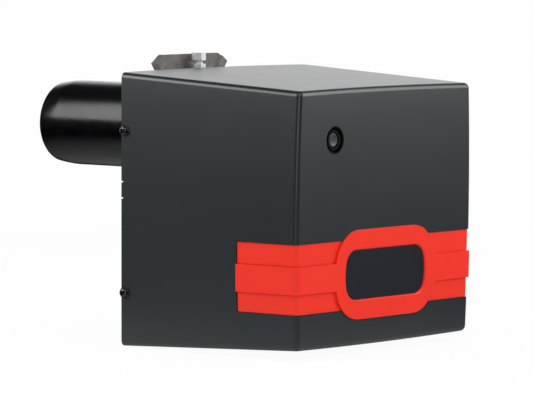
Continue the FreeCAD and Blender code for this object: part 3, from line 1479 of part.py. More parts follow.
problems = [item.Name for item in document.Objects if "Invalid" in item.State or "Error" in item.State]
for cut in cuts:
    before = cut.BaseFeature.Shape.Volume if cut.BaseFeature else 0
    if before - cut.Shape.Volume < 0.01:
        problems.append(f"{cut.Name} cuts nothing")
for node in nodes:
    if node.Shape.isNull() or not node.Shape.isValid() or not node.Shape.Solids:
        problems.append(f"{node.Label} has no valid solid")
if problems:
    raise RuntimeError("; ".join(problems))

os.makedirs("parts", exist_ok=True)
for node in nodes:
    node.Shape.exportStep(f"parts/{node.Label}.step")
print(f"{len(nodes)} nodes written")
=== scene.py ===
import bmesh
import bpy
import json
import math
from mathutils import Matrix, Vector

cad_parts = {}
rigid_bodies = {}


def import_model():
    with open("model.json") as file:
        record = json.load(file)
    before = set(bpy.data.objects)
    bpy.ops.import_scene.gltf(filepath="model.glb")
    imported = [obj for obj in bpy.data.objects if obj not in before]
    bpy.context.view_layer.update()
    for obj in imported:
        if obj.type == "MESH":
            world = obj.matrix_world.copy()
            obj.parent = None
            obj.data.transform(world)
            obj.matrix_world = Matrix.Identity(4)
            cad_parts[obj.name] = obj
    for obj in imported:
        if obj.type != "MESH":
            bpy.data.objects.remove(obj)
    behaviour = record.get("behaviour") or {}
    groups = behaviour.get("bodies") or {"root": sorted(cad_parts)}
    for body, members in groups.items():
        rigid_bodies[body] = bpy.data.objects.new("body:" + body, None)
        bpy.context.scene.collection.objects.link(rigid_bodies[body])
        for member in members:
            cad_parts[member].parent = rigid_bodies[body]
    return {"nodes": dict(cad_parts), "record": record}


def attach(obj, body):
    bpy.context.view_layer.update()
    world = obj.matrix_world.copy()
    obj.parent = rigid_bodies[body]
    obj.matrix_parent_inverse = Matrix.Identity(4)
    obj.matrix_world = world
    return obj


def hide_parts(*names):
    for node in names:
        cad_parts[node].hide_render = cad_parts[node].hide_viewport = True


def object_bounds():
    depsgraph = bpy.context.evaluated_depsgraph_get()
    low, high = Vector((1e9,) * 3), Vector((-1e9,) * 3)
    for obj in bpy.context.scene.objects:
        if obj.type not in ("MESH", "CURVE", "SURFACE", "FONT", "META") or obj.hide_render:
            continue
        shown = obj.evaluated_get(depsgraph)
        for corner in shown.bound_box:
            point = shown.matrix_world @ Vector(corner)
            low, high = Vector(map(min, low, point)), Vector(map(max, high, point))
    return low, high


# Oil burner: black cover with a red wrap-round trim, blast tube and boiler flange at the back.
# Sizes are millimetres in the dictionaries and turn into metres where they are used.
# A hair is how far a cutter stands past a face that it would otherwise lie on.
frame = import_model()
cadBox = [list(corner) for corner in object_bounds()]
nodes = frame["nodes"]
mm = 0.001
hair = 0.01
print("frame loaded:", len(nodes), "nodes")


def deselectAll():
    for item in bpy.context.view_layer.objects:
        item.select_set(False)
    bpy.context.view_layer.objects.active = None


def makeActive(item):
    deselectAll()
    item.select_set(True)
    bpy.context.view_layer.objects.active = item


def pick(kind, wanted):
    # selects verts, edges or faces of the mesh being edited by their place or normal
    mesh = bmesh.from_edit_mesh(bpy.context.object.data)
    modes = [kind == one for one in ("verts", "edges", "faces")]
    bpy.context.tool_settings.mesh_select_mode = modes
    for part in list(mesh.verts) + list(mesh.edges) + list(mesh.faces):
        part.select = False
    for part in getattr(mesh, kind):
        if wanted(part):
            part.select_set(True)
    mesh.select_flush_mode()
    bmesh.update_edit_mesh(bpy.context.object.data)


def slide(x, y, z):
    bpy.ops.transform.translate(value=(x, y, z))


def drawUp(x, y, z):
    # draws out the faces that are picked, by millimetres
    value = (x * mm, y * mm, z * mm)
    bpy.ops.mesh.extrude_region_move(TRANSFORM_OT_translate={"value": value})


def grow(x, y, z, centre):
    bpy.ops.transform.resize(value=(x, y, z), center_override=centre)


def bisectAt(point, normal, above=False, below=False):
    # above and below throw away what lies past the plane on that side
    bpy.ops.mesh.select_all(action="SELECT")
    bpy.ops.mesh.bisect(plane_co=point, plane_no=normal, clear_outer=above, clear_inner=below)


def rise(edge):
    # how far an edge climbs from one end to the other
    return abs(edge.verts[0].co.z - edge.verts[1].co.z)


def startEdit():
    bpy.ops.object.mode_set(mode="EDIT")


def endEdit():
    bpy.ops.object.mode_set(mode="OBJECT")


def rightWayOut():
    bpy.ops.mesh.select_all(action="SELECT")
    bpy.ops.mesh.remove_doubles(threshold=0.00001)
    bpy.ops.mesh.normals_make_consistent(inside=False)


def applyModifier(item, kind, **settings):
    makeActive(item)
    modifier = item.modifiers.new(kind.lower(), kind)
    for name, value in settings.items():
        setattr(modifier, name, value)
    bpy.ops.object.modifier_apply(modifier=modifier.name)


def cutAway(item, cutter):
    applyModifier(item, "BOOLEAN", object=cutter, operation="DIFFERENCE", solver="EXACT")
    bpy.data.objects.remove(cutter)


def weldOn(item, added):
    applyModifier(item, "BOOLEAN", object=added, operation="UNION", solver="EXACT")
    bpy.data.objects.remove(added)


def joinAll(items):
    deselectAll()
    for item in items:
        item.select_set(True)
    bpy.context.view_layer.objects.active = items[0]
    bpy.ops.object.join()
    return items[0]


def bakePlace(item):
    makeActive(item)
    bpy.ops.object.transform_apply(location=True, rotation=True, scale=True)


def box(x, y, z):
    # a block between pairs of stations in millimetres, used for cutters and stock
    deselectAll()
    middle = [sum(pair) / 2 * mm for pair in (x, y, z)]
    bpy.ops.mesh.primitive_cube_add(size=1, location=middle)
    item = bpy.context.object
    item.scale = [abs(pair[1] - pair[0]) * mm for pair in (x, y, z)]
    bakePlace(item)
    return item


def rod(place, radius, length, axis="Y", vertices=48):
    # a round bar centred on its place
    deselectAll()
    turns = {"X": (0, math.pi / 2, 0), "Y": (math.pi / 2, 0, 0), "Z": (0, 0, 0)}
    bpy.ops.mesh.primitive_cylinder_add(
        vertices=vertices, radius=radius * mm, depth=length * mm,
        location=[value * mm for value in place], rotation=turns[axis])
    item = bpy.context.object
    bakePlace(item)
    return item


def turned(place, rings, vertices=64, closed=False, fillLast=False):
    # a turned piece along Y: a circle drawn out ring by ring, each ring a (radius, station) pair
    deselectAll()
    x, y, z = (value * mm for value in place)
    radius, station = rings[0]
    bpy.ops.mesh.primitive_circle_add(
        vertices=vertices, radius=radius * mm, location=(x, y + station * mm, z),
        rotation=(math.pi / 2, 0, 0))
    item = bpy.context.object
    bakePlace(item)
    startEdit()
    bpy.ops.mesh.select_all(action="SELECT")
    before, last = radius, station
    for radius, station in rings[1:] + (rings[:1] if closed else []):
        bpy.ops.mesh.extrude_edges_move()
        slide(0, (station - last) * mm, 0)
        grow(radius / before, 1, radius / before, (x, y + station * mm, z))
        before, last = radius, station
    if fillLast:
        bpy.ops.mesh.edge_face_add()
    rightWayOut()
    endEdit()
    return item


finishes = {}
angleOfSharpEdges = math.radians(32)
weightOfLargeFaces = 80


def finishPiece(item, name, body, slot, replaced):
    # names the piece, smooths it, paints it and hands it to its CAD body
    item.name = name
    item.data.name = name
    makeActive(item)
    bpy.ops.object.shade_smooth_by_angle(angle=angleOfSharpEdges)
    applyModifier(item, "WEIGHTED_NORMAL", keep_sharp=True, weight=weightOfLargeFaces)
    item.data.materials.clear()
    item.data.materials.append(finishes[slot])
    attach(item, body)
    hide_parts(*replaced)


# finishes

def newFinish(name, baseColor, roughness, metallic=0.0, coat=0.0, coatRoughness=0.1,
              specular=0.5):
    material = bpy.data.materials.new(name)
    material.use_nodes = True
    tree = material.node_tree
    shader = tree.nodes["Principled BSDF"]
    shader.inputs["Base Color"].default_value = (*baseColor, 1)
    shader.inputs["Roughness"].default_value = roughness
    shader.inputs["Metallic"].default_value = metallic
    shader.inputs["Coat Weight"].default_value = coat
    shader.inputs["Coat Roughness"].default_value = coatRoughness
    shader.inputs["Specular IOR Level"].default_value = specular
    finishes[name] = material
    return tree, shader


def place(tree, stretch=(1, 1, 1)):
    # object coordinates, stretched along an axis for brushed or drawn metal
    coordinates = tree.nodes.new("ShaderNodeTexCoord")
    mapping = tree.nodes.new("ShaderNodeMapping")
    mapping.inputs["Scale"].default_value = stretch
    tree.links.new(coordinates.outputs["Object"], mapping.inputs["Vector"])
    return mapping.outputs["Vector"]


def cloud(tree, vector, size, detail=4.0, roughness=0.55):
    # soft noise whose patches measure about that many millimetres
    noise = tree.nodes.new("ShaderNodeTexNoise")
    noise.inputs["Scale"].default_value = 1 / (size * mm)
    noise.inputs["Detail"].default_value = detail
    noise.inputs["Roughness"].default_value = roughness
    tree.links.new(vector, noise.inputs["Vector"])
    return noise.outputs["Fac"]


def cells(tree, vector, size, output="Distance"):
    pattern = tree.nodes.new("ShaderNodeTexVoronoi")
    pattern.inputs["Scale"].default_value = 1 / (size * mm)
    tree.links.new(vector, pattern.inputs["Vector"])
    return pattern.outputs[output]


def shades(tree, shader, factor, darker, lighter, low=0.3, high=0.7):
    ramp = tree.nodes.new("ShaderNodeValToRGB")
    ramp.color_ramp.elements[0].position = low
    ramp.color_ramp.elements[1].position = high
    ramp.color_ramp.elements[0].color = (*darker, 1)
    ramp.color_ramp.elements[1].color = (*lighter, 1)
    tree.links.new(factor, ramp.inputs["Fac"])
    tree.links.new(ramp.outputs["Color"], shader.inputs["Base Color"])


def mapped(tree, value, ends, results, curve="LINEAR"):
    # turns a value between two ends into one between two results
    spread = tree.nodes.new("ShaderNodeMapRange")
    spread.interpolation_type = curve
    sockets = ("From Min", "From Max", "To Min", "To Max")
    for socket, number in zip(sockets, (*ends, *results)):
        spread.inputs[socket].default_value = number
    tree.links.new(value, spread.inputs["Value"])
    return spread.outputs["Result"]


def sheen(tree, shader, factor, smoothest, roughest):
    result = mapped(tree, factor, (0.3, 0.7), (smoothest, roughest))
    tree.links.new(result, shader.inputs["Roughness"])


def relief(tree, shader, factor, depth, strength=1.0, under=None):
    # depth in millimetres; under is an earlier relief that this one lies on
    bump = tree.nodes.new("ShaderNodeBump")
    bump.inputs["Strength"].default_value = strength
    bump.inputs["Distance"].default_value = depth * mm
    tree.links.new(factor, bump.inputs["Height"])
    if under is not None:
        tree.links.new(under, bump.inputs["Normal"])
    tree.links.new(bump.outputs["Normal"], shader.inputs["Normal"])
    return bump.outputs["Normal"]


def mouldedPlastic(name, darker, lighter, roughness, grain, depth, coat=0.0, specular=0.5,
                   uneven=0.04):
    tree, shader = newFinish(name, lighter, roughness, coat=coat, specular=specular)
    vector = place(tree)
    shades(tree, shader, cloud(tree, vector, size=60), darker, lighter)
    sheen(tree, shader, cloud(tree, vector, size=25), roughness - uneven, roughness + uneven)
    relief(tree, shader, cloud(tree, vector, grain, detail=2.0), depth, strength=0.6)


def castMetal(name, darker, lighter, roughness, grain, depth, metallic=0.9):
    tree, shader = newFinish(name, lighter, roughness, metallic)
    vector = place(tree)
    patches = cloud(tree, vector, size=9, detail=8.0, roughness=0.65)
    shades(tree, shader, patches, darker, lighter)
    sheen(tree, shader, cloud(tree, vector, size=4), roughness - 0.1, roughness + 0.12)
    pits = relief(tree, shader, cells(tree, vector, grain * 2), depth, strength=0.5)
    sand = cloud(tree, vector, grain, detail=6.0, roughness=0.7)
    relief(tree, shader, sand, depth, strength=0.9, under=pits)


def platedSteel(name, darker, lighter, roughness, stretch=(1, 1, 1), metallic=1.0):
    tree, shader = newFinish(name, lighter, roughness, metallic)
    vector = place(tree, stretch)
    shades(tree, shader, cloud(tree, vector, size=5, detail=5.0), darker, lighter)
    sheen(tree, shader, cloud(tree, vector, size=1.6), roughness - 0.07, roughness + 0.1)
    relief(tree, shader, cloud(tree, vector, size=0.5, detail=3.0), depth=0.03, strength=0.35)


def spangledSheet(name, darker, lighter, roughness):
    tree, shader = newFinish(name, lighter, roughness, metallic=1.0)
    vector = place(tree)
    flakes = cells(tree, vector, 4.5, "Color")
    shades(tree, shader, flakes, darker, lighter, low=0.1, high=0.9)
    sheen(tree, shader, cloud(tree, vector, size=3), roughness - 0.06, roughness + 0.1)
    relief(tree, shader, cloud(tree, vector, size=0.8, detail=3.0), depth=0.02, strength=0.3)


def paintedSheet(name, darker, lighter, roughness, coat=0.0):
    tree, shader = newFinish(name, lighter, roughness, coat=coat, coatRoughness=0.12)
    vector = place(tree)
    shades(tree, shader, cloud(tree, vector, size=40), darker, lighter)
    sheen(tree, shader, cloud(tree, vector, size=12), roughness - 0.03, roughness + 0.05)
    relief(tree, shader, cloud(tree, vector, size=1.6, detail=2.0), depth=0.02, strength=0.4)


plastics = {
    "cover_plastic": {
        "darker": (0.014, 0.020, 0.023), "lighter": (0.016, 0.023, 0.026), "roughness": 0.33,
        "grain": 1.4, "depth": 0.004, "specular": 1.0, "uneven": 0.006},
    "black_plastic": {
        "darker": (0.003, 0.003, 0.004), "lighter": (0.005, 0.005, 0.006), "roughness": 0.45,
        "grain": 0.5, "depth": 0.03, "specular": 0.15},
    "red_plastic": {
        "darker": (0.92, 0.028, 0.011), "lighter": (0.93, 0.030, 0.013), "roughness": 0.3,
        "grain": 1.4, "depth": 0.001, "uneven": 0.006},
    "badge_black": {
        "darker": (0.014, 0.017, 0.023), "lighter": (0.016, 0.019, 0.025), "roughness": 0.3,
        "grain": 1.4, "depth": 0.002, "uneven": 0.006},
    "button_plastic": {
        "darker": (0.05, 0.051, 0.057), "lighter": (0.06, 0.061, 0.067), "roughness": 0.3,
        "grain": 0.5, "depth": 0.01},
    "white_plastic": {
        "darker": (0.68, 0.68, 0.64), "lighter": (0.78, 0.78, 0.75), "roughness": 0.4,
        "grain": 0.6, "depth": 0.02},
    "control_plastic": {
        "darker": (0.08, 0.08, 0.085), "lighter": (0.11, 0.11, 0.115), "roughness": 0.42,
        "grain": 0.5, "depth": 0.04},
    "coupling_plastic": {
        "darker": (0.42, 0.05, 0.03), "lighter": (0.55, 0.07, 0.045), "roughness": 0.4,
        "grain": 0.6, "depth": 0.02},
    "transformer_case": {
        "darker": (0.035, 0.035, 0.04), "lighter": (0.05, 0.05, 0.055), "roughness": 0.32,
        "grain": 1.2, "depth": 0.03},
    "ceramic": {
        "darker": (0.74, 0.72, 0.66), "lighter": (0.84, 0.82, 0.76), "roughness": 0.18,
        "grain": 1.0, "depth": 0.01, "coat": 0.4},
    "silicone_lead": {
        "darker": (0.42, 0.06, 0.04), "lighter": (0.52, 0.08, 0.05), "roughness": 0.45,
        "grain": 0.7, "depth": 0.02},
}
castings = {
    "cast_metal": {
        "darker": (0.15, 0.138, 0.126), "lighter": (0.27, 0.252, 0.235), "roughness": 0.5,
        "grain": 0.9, "depth": 0.12, "metallic": 0.35},
    "cast_aluminium": {
        "darker": (0.42, 0.42, 0.42), "lighter": (0.60, 0.60, 0.60), "roughness": 0.45,
        "grain": 0.8, "depth": 0.08},
}
platings = {
    "zinc_steel": {
        "darker": (0.80, 0.83, 0.88), "lighter": (0.92, 0.94, 0.96), "roughness": 0.34,
        "metallic": 0.45},
    "bright_steel": {
        "darker": (0.62, 0.62, 0.63), "lighter": (0.76, 0.76, 0.77), "roughness": 0.2,
        "stretch": (0.15, 1, 1)},
    "heat_steel": {
        "darker": (0.30, 0.25, 0.21), "lighter": (0.46, 0.43, 0.41), "roughness": 0.38},
    "brass": {
        "darker": (0.58, 0.39, 0.14), "lighter": (0.74, 0.53, 0.22), "roughness": 0.26},
    "copper": {
        "darker": (0.60, 0.27, 0.15), "lighter": (0.76, 0.40, 0.25), "roughness": 0.28,
        "stretch": (1, 0.3, 1)},
    "black_screw": {
        "darker": (0.09, 0.09, 0.095), "lighter": (0.14, 0.14, 0.145), "roughness": 0.24},
}
sheets = {
    "galvanised_sheet": {
        "darker": (0.48, 0.50, 0.52), "lighter": (0.66, 0.68, 0.69), "roughness": 0.34},
}
paints = {
    "black_enamel": {
        "darker": (0.0008, 0.0009, 0.0014), "lighter": (0.0014, 0.0016, 0.0022),
        "roughness": 0.2},
    "black_steel": {
        "darker": (0.022, 0.022, 0.024), "lighter": (0.033, 0.033, 0.035), "roughness": 0.42},
    "motor_paint": {
        "darker": (0.07, 0.077, 0.085), "lighter": (0.10, 0.108, 0.118), "roughness": 0.4,
        "coat": 0.1},
}
for makeFinish, looks in ((mouldedPlastic, plastics), (castMetal, castings),
                          (platedSteel, platings), (spangledSheet, sheets),
                          (paintedSheet, paints)):
    for name, look in looks.items():
        makeFinish(name, **look)
print("finishes made:", len(finishes))

for part in frame["record"]["subparts"]:
    node = nodes[part["node"]]
    node.data.materials.clear()
    node.data.materials.append(finishes[part["material_slot"]])


# cover form, shared by the shell and the red trim

coverForm = {
    "rearY": -42.5, "frontY": -268.1, "lean": 0.67,
    "rearHalf": 148.75, "frontHalf": 138.6,
    "rearTop": 63.0, "frontTop": 50.0,
    "rearLow": -215.6, "frontLow": -206.8,
    "sideCrown": 3.4, "rearCrown": 0.17, "topCrown": 1.3,
    "corner": 5.5, "frontRound": 5.2, "rows": 10, "roundSteps": 6, "cornerLineShare": 0.8,
}


def coverBlock(inset):
    # a cube drawn to the tapered sections, crowned row by row, then rounded
    form = coverForm
    deselectAll()
    bpy.ops.mesh.primitive_cube_add(size=1)
    item = bpy.context.object
    startEdit()
    rows = form["rows"]
    for row in range(1, rows):
        bisectAt((0, 0, row / rows - 0.5), (0, 0, 1))
        bisectAt((row / rows - 0.5, 0, 0), (1, 0, 0))
    ends = {}
    for end, side in (("rear", 1), ("front", -1)):
        half = form[end + "Half"] - inset
        top = form[end + "Top"] - inset
        low = form[end + "Low"] + inset
        station = form[end + "Y"] + (inset if end == "front" else 0)
        ends[end] = (half, top, low, station)
        pick("verts", lambda vert: abs(vert.co.y - 0.5 * side) < 0.01)
        grow(2 * half * mm, 1, (top - low) * mm, (0, 0, 0))
        slide(0, station * mm - 0.5 * side, (top + low) / 2 * mm)
    for end, (half, top, low, station) in ends.items():
        crown = form["sideCrown"] if end == "front" else form["rearCrown"]
        for row in range(1, rows):
            bulge = 1 - (2 * row / rows - 1) ** 2
            height = (low + (top - low) * row / rows) * mm
            across = (-half + 2 * half * row / rows) * mm
            for side in (1, -1):
                edge = top if side == 1 else low
                pick("verts", lambda vert: abs(vert.co.y - station * mm) < 1e-5
                     and abs(vert.co.z - height) < 1e-5
                     and abs(vert.co.x - side * half * mm) < 1e-5)
                slide(side * crown * bulge * mm, 0, 0)
                pick("verts", lambda vert: abs(vert.co.y - station * mm) < 1e-5
                     and abs(vert.co.x - across) < 1e-5 and abs(vert.co.z - edge * mm) < 1e-5)
                slide(0, 0, side * form["topCrown"] * bulge * mm)
    station = ends["front"][3] * mm
    pick("verts", lambda vert: abs(vert.co.y - station) < 1e-5)
    bpy.ops.transform.rotate(value=-math.radians(form["lean"]), orient_axis="X",
                             center_override=(0, station, 0))
    long = (ends["rear"][3] - ends["front"][3]) * mm * form["cornerLineShare"]
    half, top, low = ends["rear"][:3]
    corners = [(x * half * mm, z * mm) for x in (1, -1) for z in (top, low)]

    def cornerLine(edge):
        back = max(edge.verts, key=lambda vert: vert.co.y).co
        return edge.calc_length() > long and any(
            math.hypot(back.x - x, back.z - z) < 1e-4 for x, z in corners)

    pick("edges", cornerLine)
    steps = form["roundSteps"]
    bpy.ops.mesh.bevel(offset=(form["corner"] - inset) * mm, segments=steps, affect="EDGES")
    pick("edges", lambda edge: len(edge.link_faces) == 2
         and min(face.normal.y for face in edge.link_faces) < -0.98
         and max(face.normal.y for face in edge.link_faces) > -0.5)
    bpy.ops.mesh.bevel(offset=(form["frontRound"] - inset) * mm, segments=steps, affect="EDGES")
    endEdit()
    return item


coverShell = {
    "wall": 3.4, "bandTop": -101.1, "bandLow": -171.5, "bandEnd": -191.0, "groove": 2.4,
    "slotY": -46.9, "slotWidth": 5.6, "slotHeights": (4.0, -161.0),
    "slitHeights": (-48.0, -64.5), "slitWidth": 1.4, "slitDepth": 2.4,
    "buttonX": -83.3, "buttonHole": 28.0,
    "openingHalf": 115.0, "openingBack": -74.5, "openingFront": -224.5, "openingRound": 12.0,
    "openingTop": -190.0, "openingLow": -235.0, "openingSteps": 8,
    "cutPast": 5.0, "cutSide": 170.0, "cutInside": 100.0, "buttonCut": 30.0,
}


def makeCoverShell():
    s = coverShell
    shell = coverBlock(0)
    startEdit()
    for height in (s["bandTop"], s["bandLow"]):
        bisectAt((0, 0, height * mm), (0, 0, 1))
    bisectAt((0, s["bandEnd"] * mm, 0), (0, 1, 0))
    pick("faces", lambda face: face.calc_center_median().y < s["bandEnd"] * mm
         and s["bandLow"] * mm < face.calc_center_median().z < s["bandTop"] * mm)
    bpy.ops.mesh.extrude_region_shrink_fatten(
        TRANSFORM_OT_shrink_fatten={"value": -s["groove"] * mm, "use_even_offset": True})
    bpy.ops.mesh.select_all(action="SELECT")
    bpy.ops.mesh.normals_make_consistent(inside=False)
    endEdit()
    rear = coverForm["rearY"]
    hollow = coverBlock(s["wall"])
    startEdit()
    pick("verts", lambda vert: vert.co.y > (rear - 1) * mm)
    slide(0, s["cutPast"] * mm, 0)
    endEdit()
    cutters = [hollow]
    for height in s["slotHeights"]:
        cutters.append(box((-s["cutSide"], s["cutSide"]), (s["slotY"], rear + s["cutPast"]),
                           (height - s["slotWidth"] / 2, height + s["slotWidth"] / 2)))
        cutters.append(rod((0, s["slotY"], height), s["slotWidth"] / 2, 2 * s["cutSide"], "X"))
    for height in s["slitHeights"]:
        cutters.append(box((-s["cutSide"], -s["cutInside"]),
                           (rear - s["slitDepth"], rear + s["cutPast"]),
                           (height - s["slitWidth"] / 2, height + s["slitWidth"] / 2)))
    cutters.append(rod((s["buttonX"], coverForm["frontY"], 0), s["buttonHole"] / 2,
                       s["buttonCut"], "Y", 72))
    opening = box((-s["openingHalf"], s["openingHalf"]), (s["openingFront"], s["openingBack"]),
                  (s["openingLow"], s["openingTop"]))
    startEdit()
    pick("edges", lambda edge: rise(edge) > s["openingRound"] * mm)
    bpy.ops.mesh.bevel(offset=s["openingRound"] * mm, segments=s["openingSteps"], affect="EDGES")
    endEdit()
    cutters.append(opening)
    for cutter in cutters:
        cutAway(shell, cutter)
    finishPiece(shell, "coverShell", "cover", "cover_plastic", ["cover_shell"])


makeCoverShell()
print("cover shell made")

# the band in the cover's recess, the raised strip along it and the groove on each side of that
trim = {
    "bandTop": -101.4, "bandLow": -171.2, "end": -191.3, "bandInset": 1.2, "bandWall": 1.15,
    "stripTop": -123.4, "stripLow": -151.0, "stripInset": -1.5, "stripWall": 2.65,
    "edge": 0.35, "edgeAngle": 60, "gap": 0.7, "gapDepth": 0.8, "cutPast": 0.5,
}


def softenEdges(item, width):
    applyModifier(item, "BEVEL", width=width * mm, segments=2, limit_method="ANGLE",
                  angle_limit=math.radians(trim["edgeAngle"]))


def wrapRound(top, low, inset, wall, edge):
    # a strip of the cover's own form, open at the back, its edges softened if asked
    strip = coverBlock(inset)
    startEdit()
    bisectAt((0, 0, top * mm), (0, 0, 1), above=True)
    bisectAt((0, 0, low * mm), (0, 0, 1), below=True)
    bisectAt((0, trim["end"] * mm, 0), (0, 1, 0), above=True)
    bpy.ops.mesh.select_all(action="SELECT")
    bpy.ops.mesh.normals_make_consistent(inside=False)
    endEdit()
    applyModifier(strip, "SOLIDIFY", thickness=wall * mm, offset=-1, use_even_offset=True)
    if edge:
        softenEdges(strip, edge)
    return strip


def makeTrimBand():
    s = trim
    band = wrapRound(s["bandTop"], s["bandLow"], s["bandInset"], s["bandWall"], s["edge"])
    for line in (s["stripTop"], s["stripLow"] - s["gap"]):
        cutAway(band, wrapRound(line + s["gap"], line, s["bandInset"] - s["cutPast"],
                                s["cutPast"] + s["gapDepth"], 0))
    finishPiece(band, "trimBand", "cover", "red_plastic", ["trim_band"])


makeTrimBand()
print("red band made")

badgeFrame = {
    "width": 160.0, "top": -91.4, "low": -181.4, "corner": 36.0, "flare": 2.5, "edge": 0.55,
    "windowTop": -111.9, "windowLow": -161.4, "windowHalf": 58.0, "windowBow": 6.25,
    "windowCorner": 10.0, "bevel": 1.2, "fit": 0.5, "sink": 1.9,
    "cutFront": -330.0, "cutBack": -150.0, "cutHalf": 200.0, "flareRoot": 12.0,
    "windowFront": 10.0, "windowBack": 5.0, "seatHalf": 100.0, "seatBack": 8.0, "seatPast": 5.0,
}
plateSteps = {"corner": 14, "bow": 8}


def upright(item):
    # leans a front piece back with the cover's front
    makeActive(item)
    startEdit()
    bpy.ops.mesh.select_all(action="SELECT")
    bpy.ops.transform.rotate(value=-math.radians(coverForm["lean"]), orient_axis="X",
                             center_override=(0, coverForm["frontY"] * mm, 0))
    endEdit()


def roundedPlate(half, low, top, corner, front, back, bow=0.0):
    # a flat plate facing forwards, its corners rounded and its sides bowed out if asked
    deselectAll()
    bpy.ops.mesh.primitive_plane_add(
        size=1, location=(0, front * mm, (low + top) / 2 * mm), rotation=(math.pi / 2, 0, 0))
    item = bpy.context.object
    item.scale = (2 * half * mm, (top - low) * mm, 1)
    bakePlace(item)
    startEdit()
    bpy.ops.mesh.select_all(action="SELECT")
    bpy.ops.mesh.bevel(offset=corner * mm, segments=plateSteps["corner"], affect="VERTICES")
    if bow:
        rows = plateSteps["bow"]
        for row in range(1, rows):
            level = low + corner + (top - low - 2 * corner) * row / rows
            bisectAt((0, 0, level * mm), (0, 0, 1))
        reach = half * mm
        heights = sorted({round(vert.co.z, 7) for vert in bmesh.from_edit_mesh(item.data).verts})
        for height in heights:
            bulge = 1 - ((height / mm - low) / (top - low) * 2 - 1) ** 2
            for side in (1, -1):
                pick("verts", lambda vert: abs(vert.co.z - height) < 1e-6
                     and side * vert.co.x > reach - corner * mm - 1e-6)
                slide(side * bow * bulge * mm, 0, 0)
    bpy.ops.mesh.select_all(action="SELECT")
    drawUp(0, back - front, 0)
    rightWayOut()
    endEdit()
    return item


def flareAt(side, line, centre, way):
    # the hollow corner where the strip runs into the badge's ring
    s = badgeFrame
    rise = way * (line - centre) + s["flare"]
    joint = s["corner"] + s["flare"]
    along = math.sqrt(joint ** 2 - rise ** 2)
    middle = s["width"] / 2 - s["corner"]
    reach = middle + along
    onRing = centre + way * rise * s["corner"] / joint
    piece = box((side * (reach - s["flareRoot"]), side * reach), (s["cutFront"], s["cutBack"]),
                (line - way, onRing))
    station = (s["cutFront"] + s["cutBack"]) / 2
    cutAway(piece, rod((side * reach, station, line + way * s["flare"]), s["flare"],
                       s["cutHalf"], "Y", 64))
    return piece


def makeTrimFrame():
    s = badgeFrame
    face = coverForm["frontY"]
    both = wrapRound(s["top"], s["low"], trim["stripInset"], trim["stripWall"], 0)
    kept = roundedPlate(s["width"] / 2, s["low"], s["top"], s["corner"],
                        s["cutFront"], s["cutBack"])
    weldOn(kept, box((-s["cutHalf"], s["cutHalf"]), (s["cutFront"] - 1, s["cutBack"] + 1),
                     (trim["stripLow"], trim["stripTop"])))
    for side in (-1, 1):
        weldOn(kept, flareAt(side, trim["stripTop"], s["top"] - s["corner"], 1))
        weldOn(kept, flareAt(side, trim["stripLow"], s["low"] + s["corner"], -1))
    applyModifier(both, "BOOLEAN", object=kept, operation="INTERSECT", solver="EXACT")
    bpy.data.objects.remove(kept)
    for low, high in ((trim["bandTop"], s["top"] + s["seatPast"]),
                      (s["low"] - s["seatPast"], trim["bandLow"])):
        seat = box((-s["seatHalf"], s["seatHalf"]), (face, face + s["seatBack"]), (low, high))
        upright(seat)
        cutAway(both, seat)
    gap = s["fit"]
    window = roundedPlate(s["windowHalf"] + gap, s["windowLow"] - gap, s["windowTop"] + gap,
                          s["windowCorner"], face - s["windowFront"], face + s["windowBack"],
                          s["windowBow"])
    upright(window)
    cutAway(both, window)
    softenEdges(both, s["edge"])
    front = face + trim["stripInset"]
    rim = roundedPlate(s["windowHalf"] + gap + s["bevel"], s["windowLow"] - gap - s["bevel"],
                       s["windowTop"] + gap + s["bevel"], s["windowCorner"] + s["bevel"],
                       front - hair, front + s["bevel"], s["windowBow"])
    startEdit()
    pick("verts", lambda vert: vert.co.y > (front + s["bevel"] / 2) * mm)
    inner = (s["windowHalf"] + gap, (s["windowTop"] - s["windowLow"]) / 2 + gap)
    grow(inner[0] / (inner[0] + s["bevel"]), 1, inner[1] / (inner[1] + s["bevel"]),
         (0, 0, (s["windowTop"] + s["windowLow"]) / 2 * mm))
    endEdit()
    upright(rim)
    cutAway(both, rim)
    finishPiece(both, "trimFrame", "cover", "red_plastic", ["trim_frame"])
    plate = roundedPlate(s["windowHalf"], s["windowLow"], s["windowTop"], s["windowCorner"],
                         front + s["sink"], face + trim["bandInset"], s["windowBow"])
    upright(plate)
    finishPiece(plate, "badgePlate", "cover", "badge_black", ["badge_plate"])


makeTrimFrame()
print("badge frame made")

resetButton = {
    "x": -83.3, "front": -268.1, "hole": 28.0, "collar": 20.0, "bore": 14.5, "button": 13.7,
    "collarSink": 1.2, "floorSink": 4.6, "length": 8.0, "buttonSink": 2.2, "dish": 0.6,
    "root": -243.0, "edge": 0.4, "rimWall": 1.2, "rimEdge": 0.3, "rimFit": 0.05, "centre": 0.6,
    "crown": ((3.4, 0.6), (2.2, 0.36), (1.5, 0.08), (0.8, 0.0), (0.2, 0.25), (0.0, 0.8)),
}


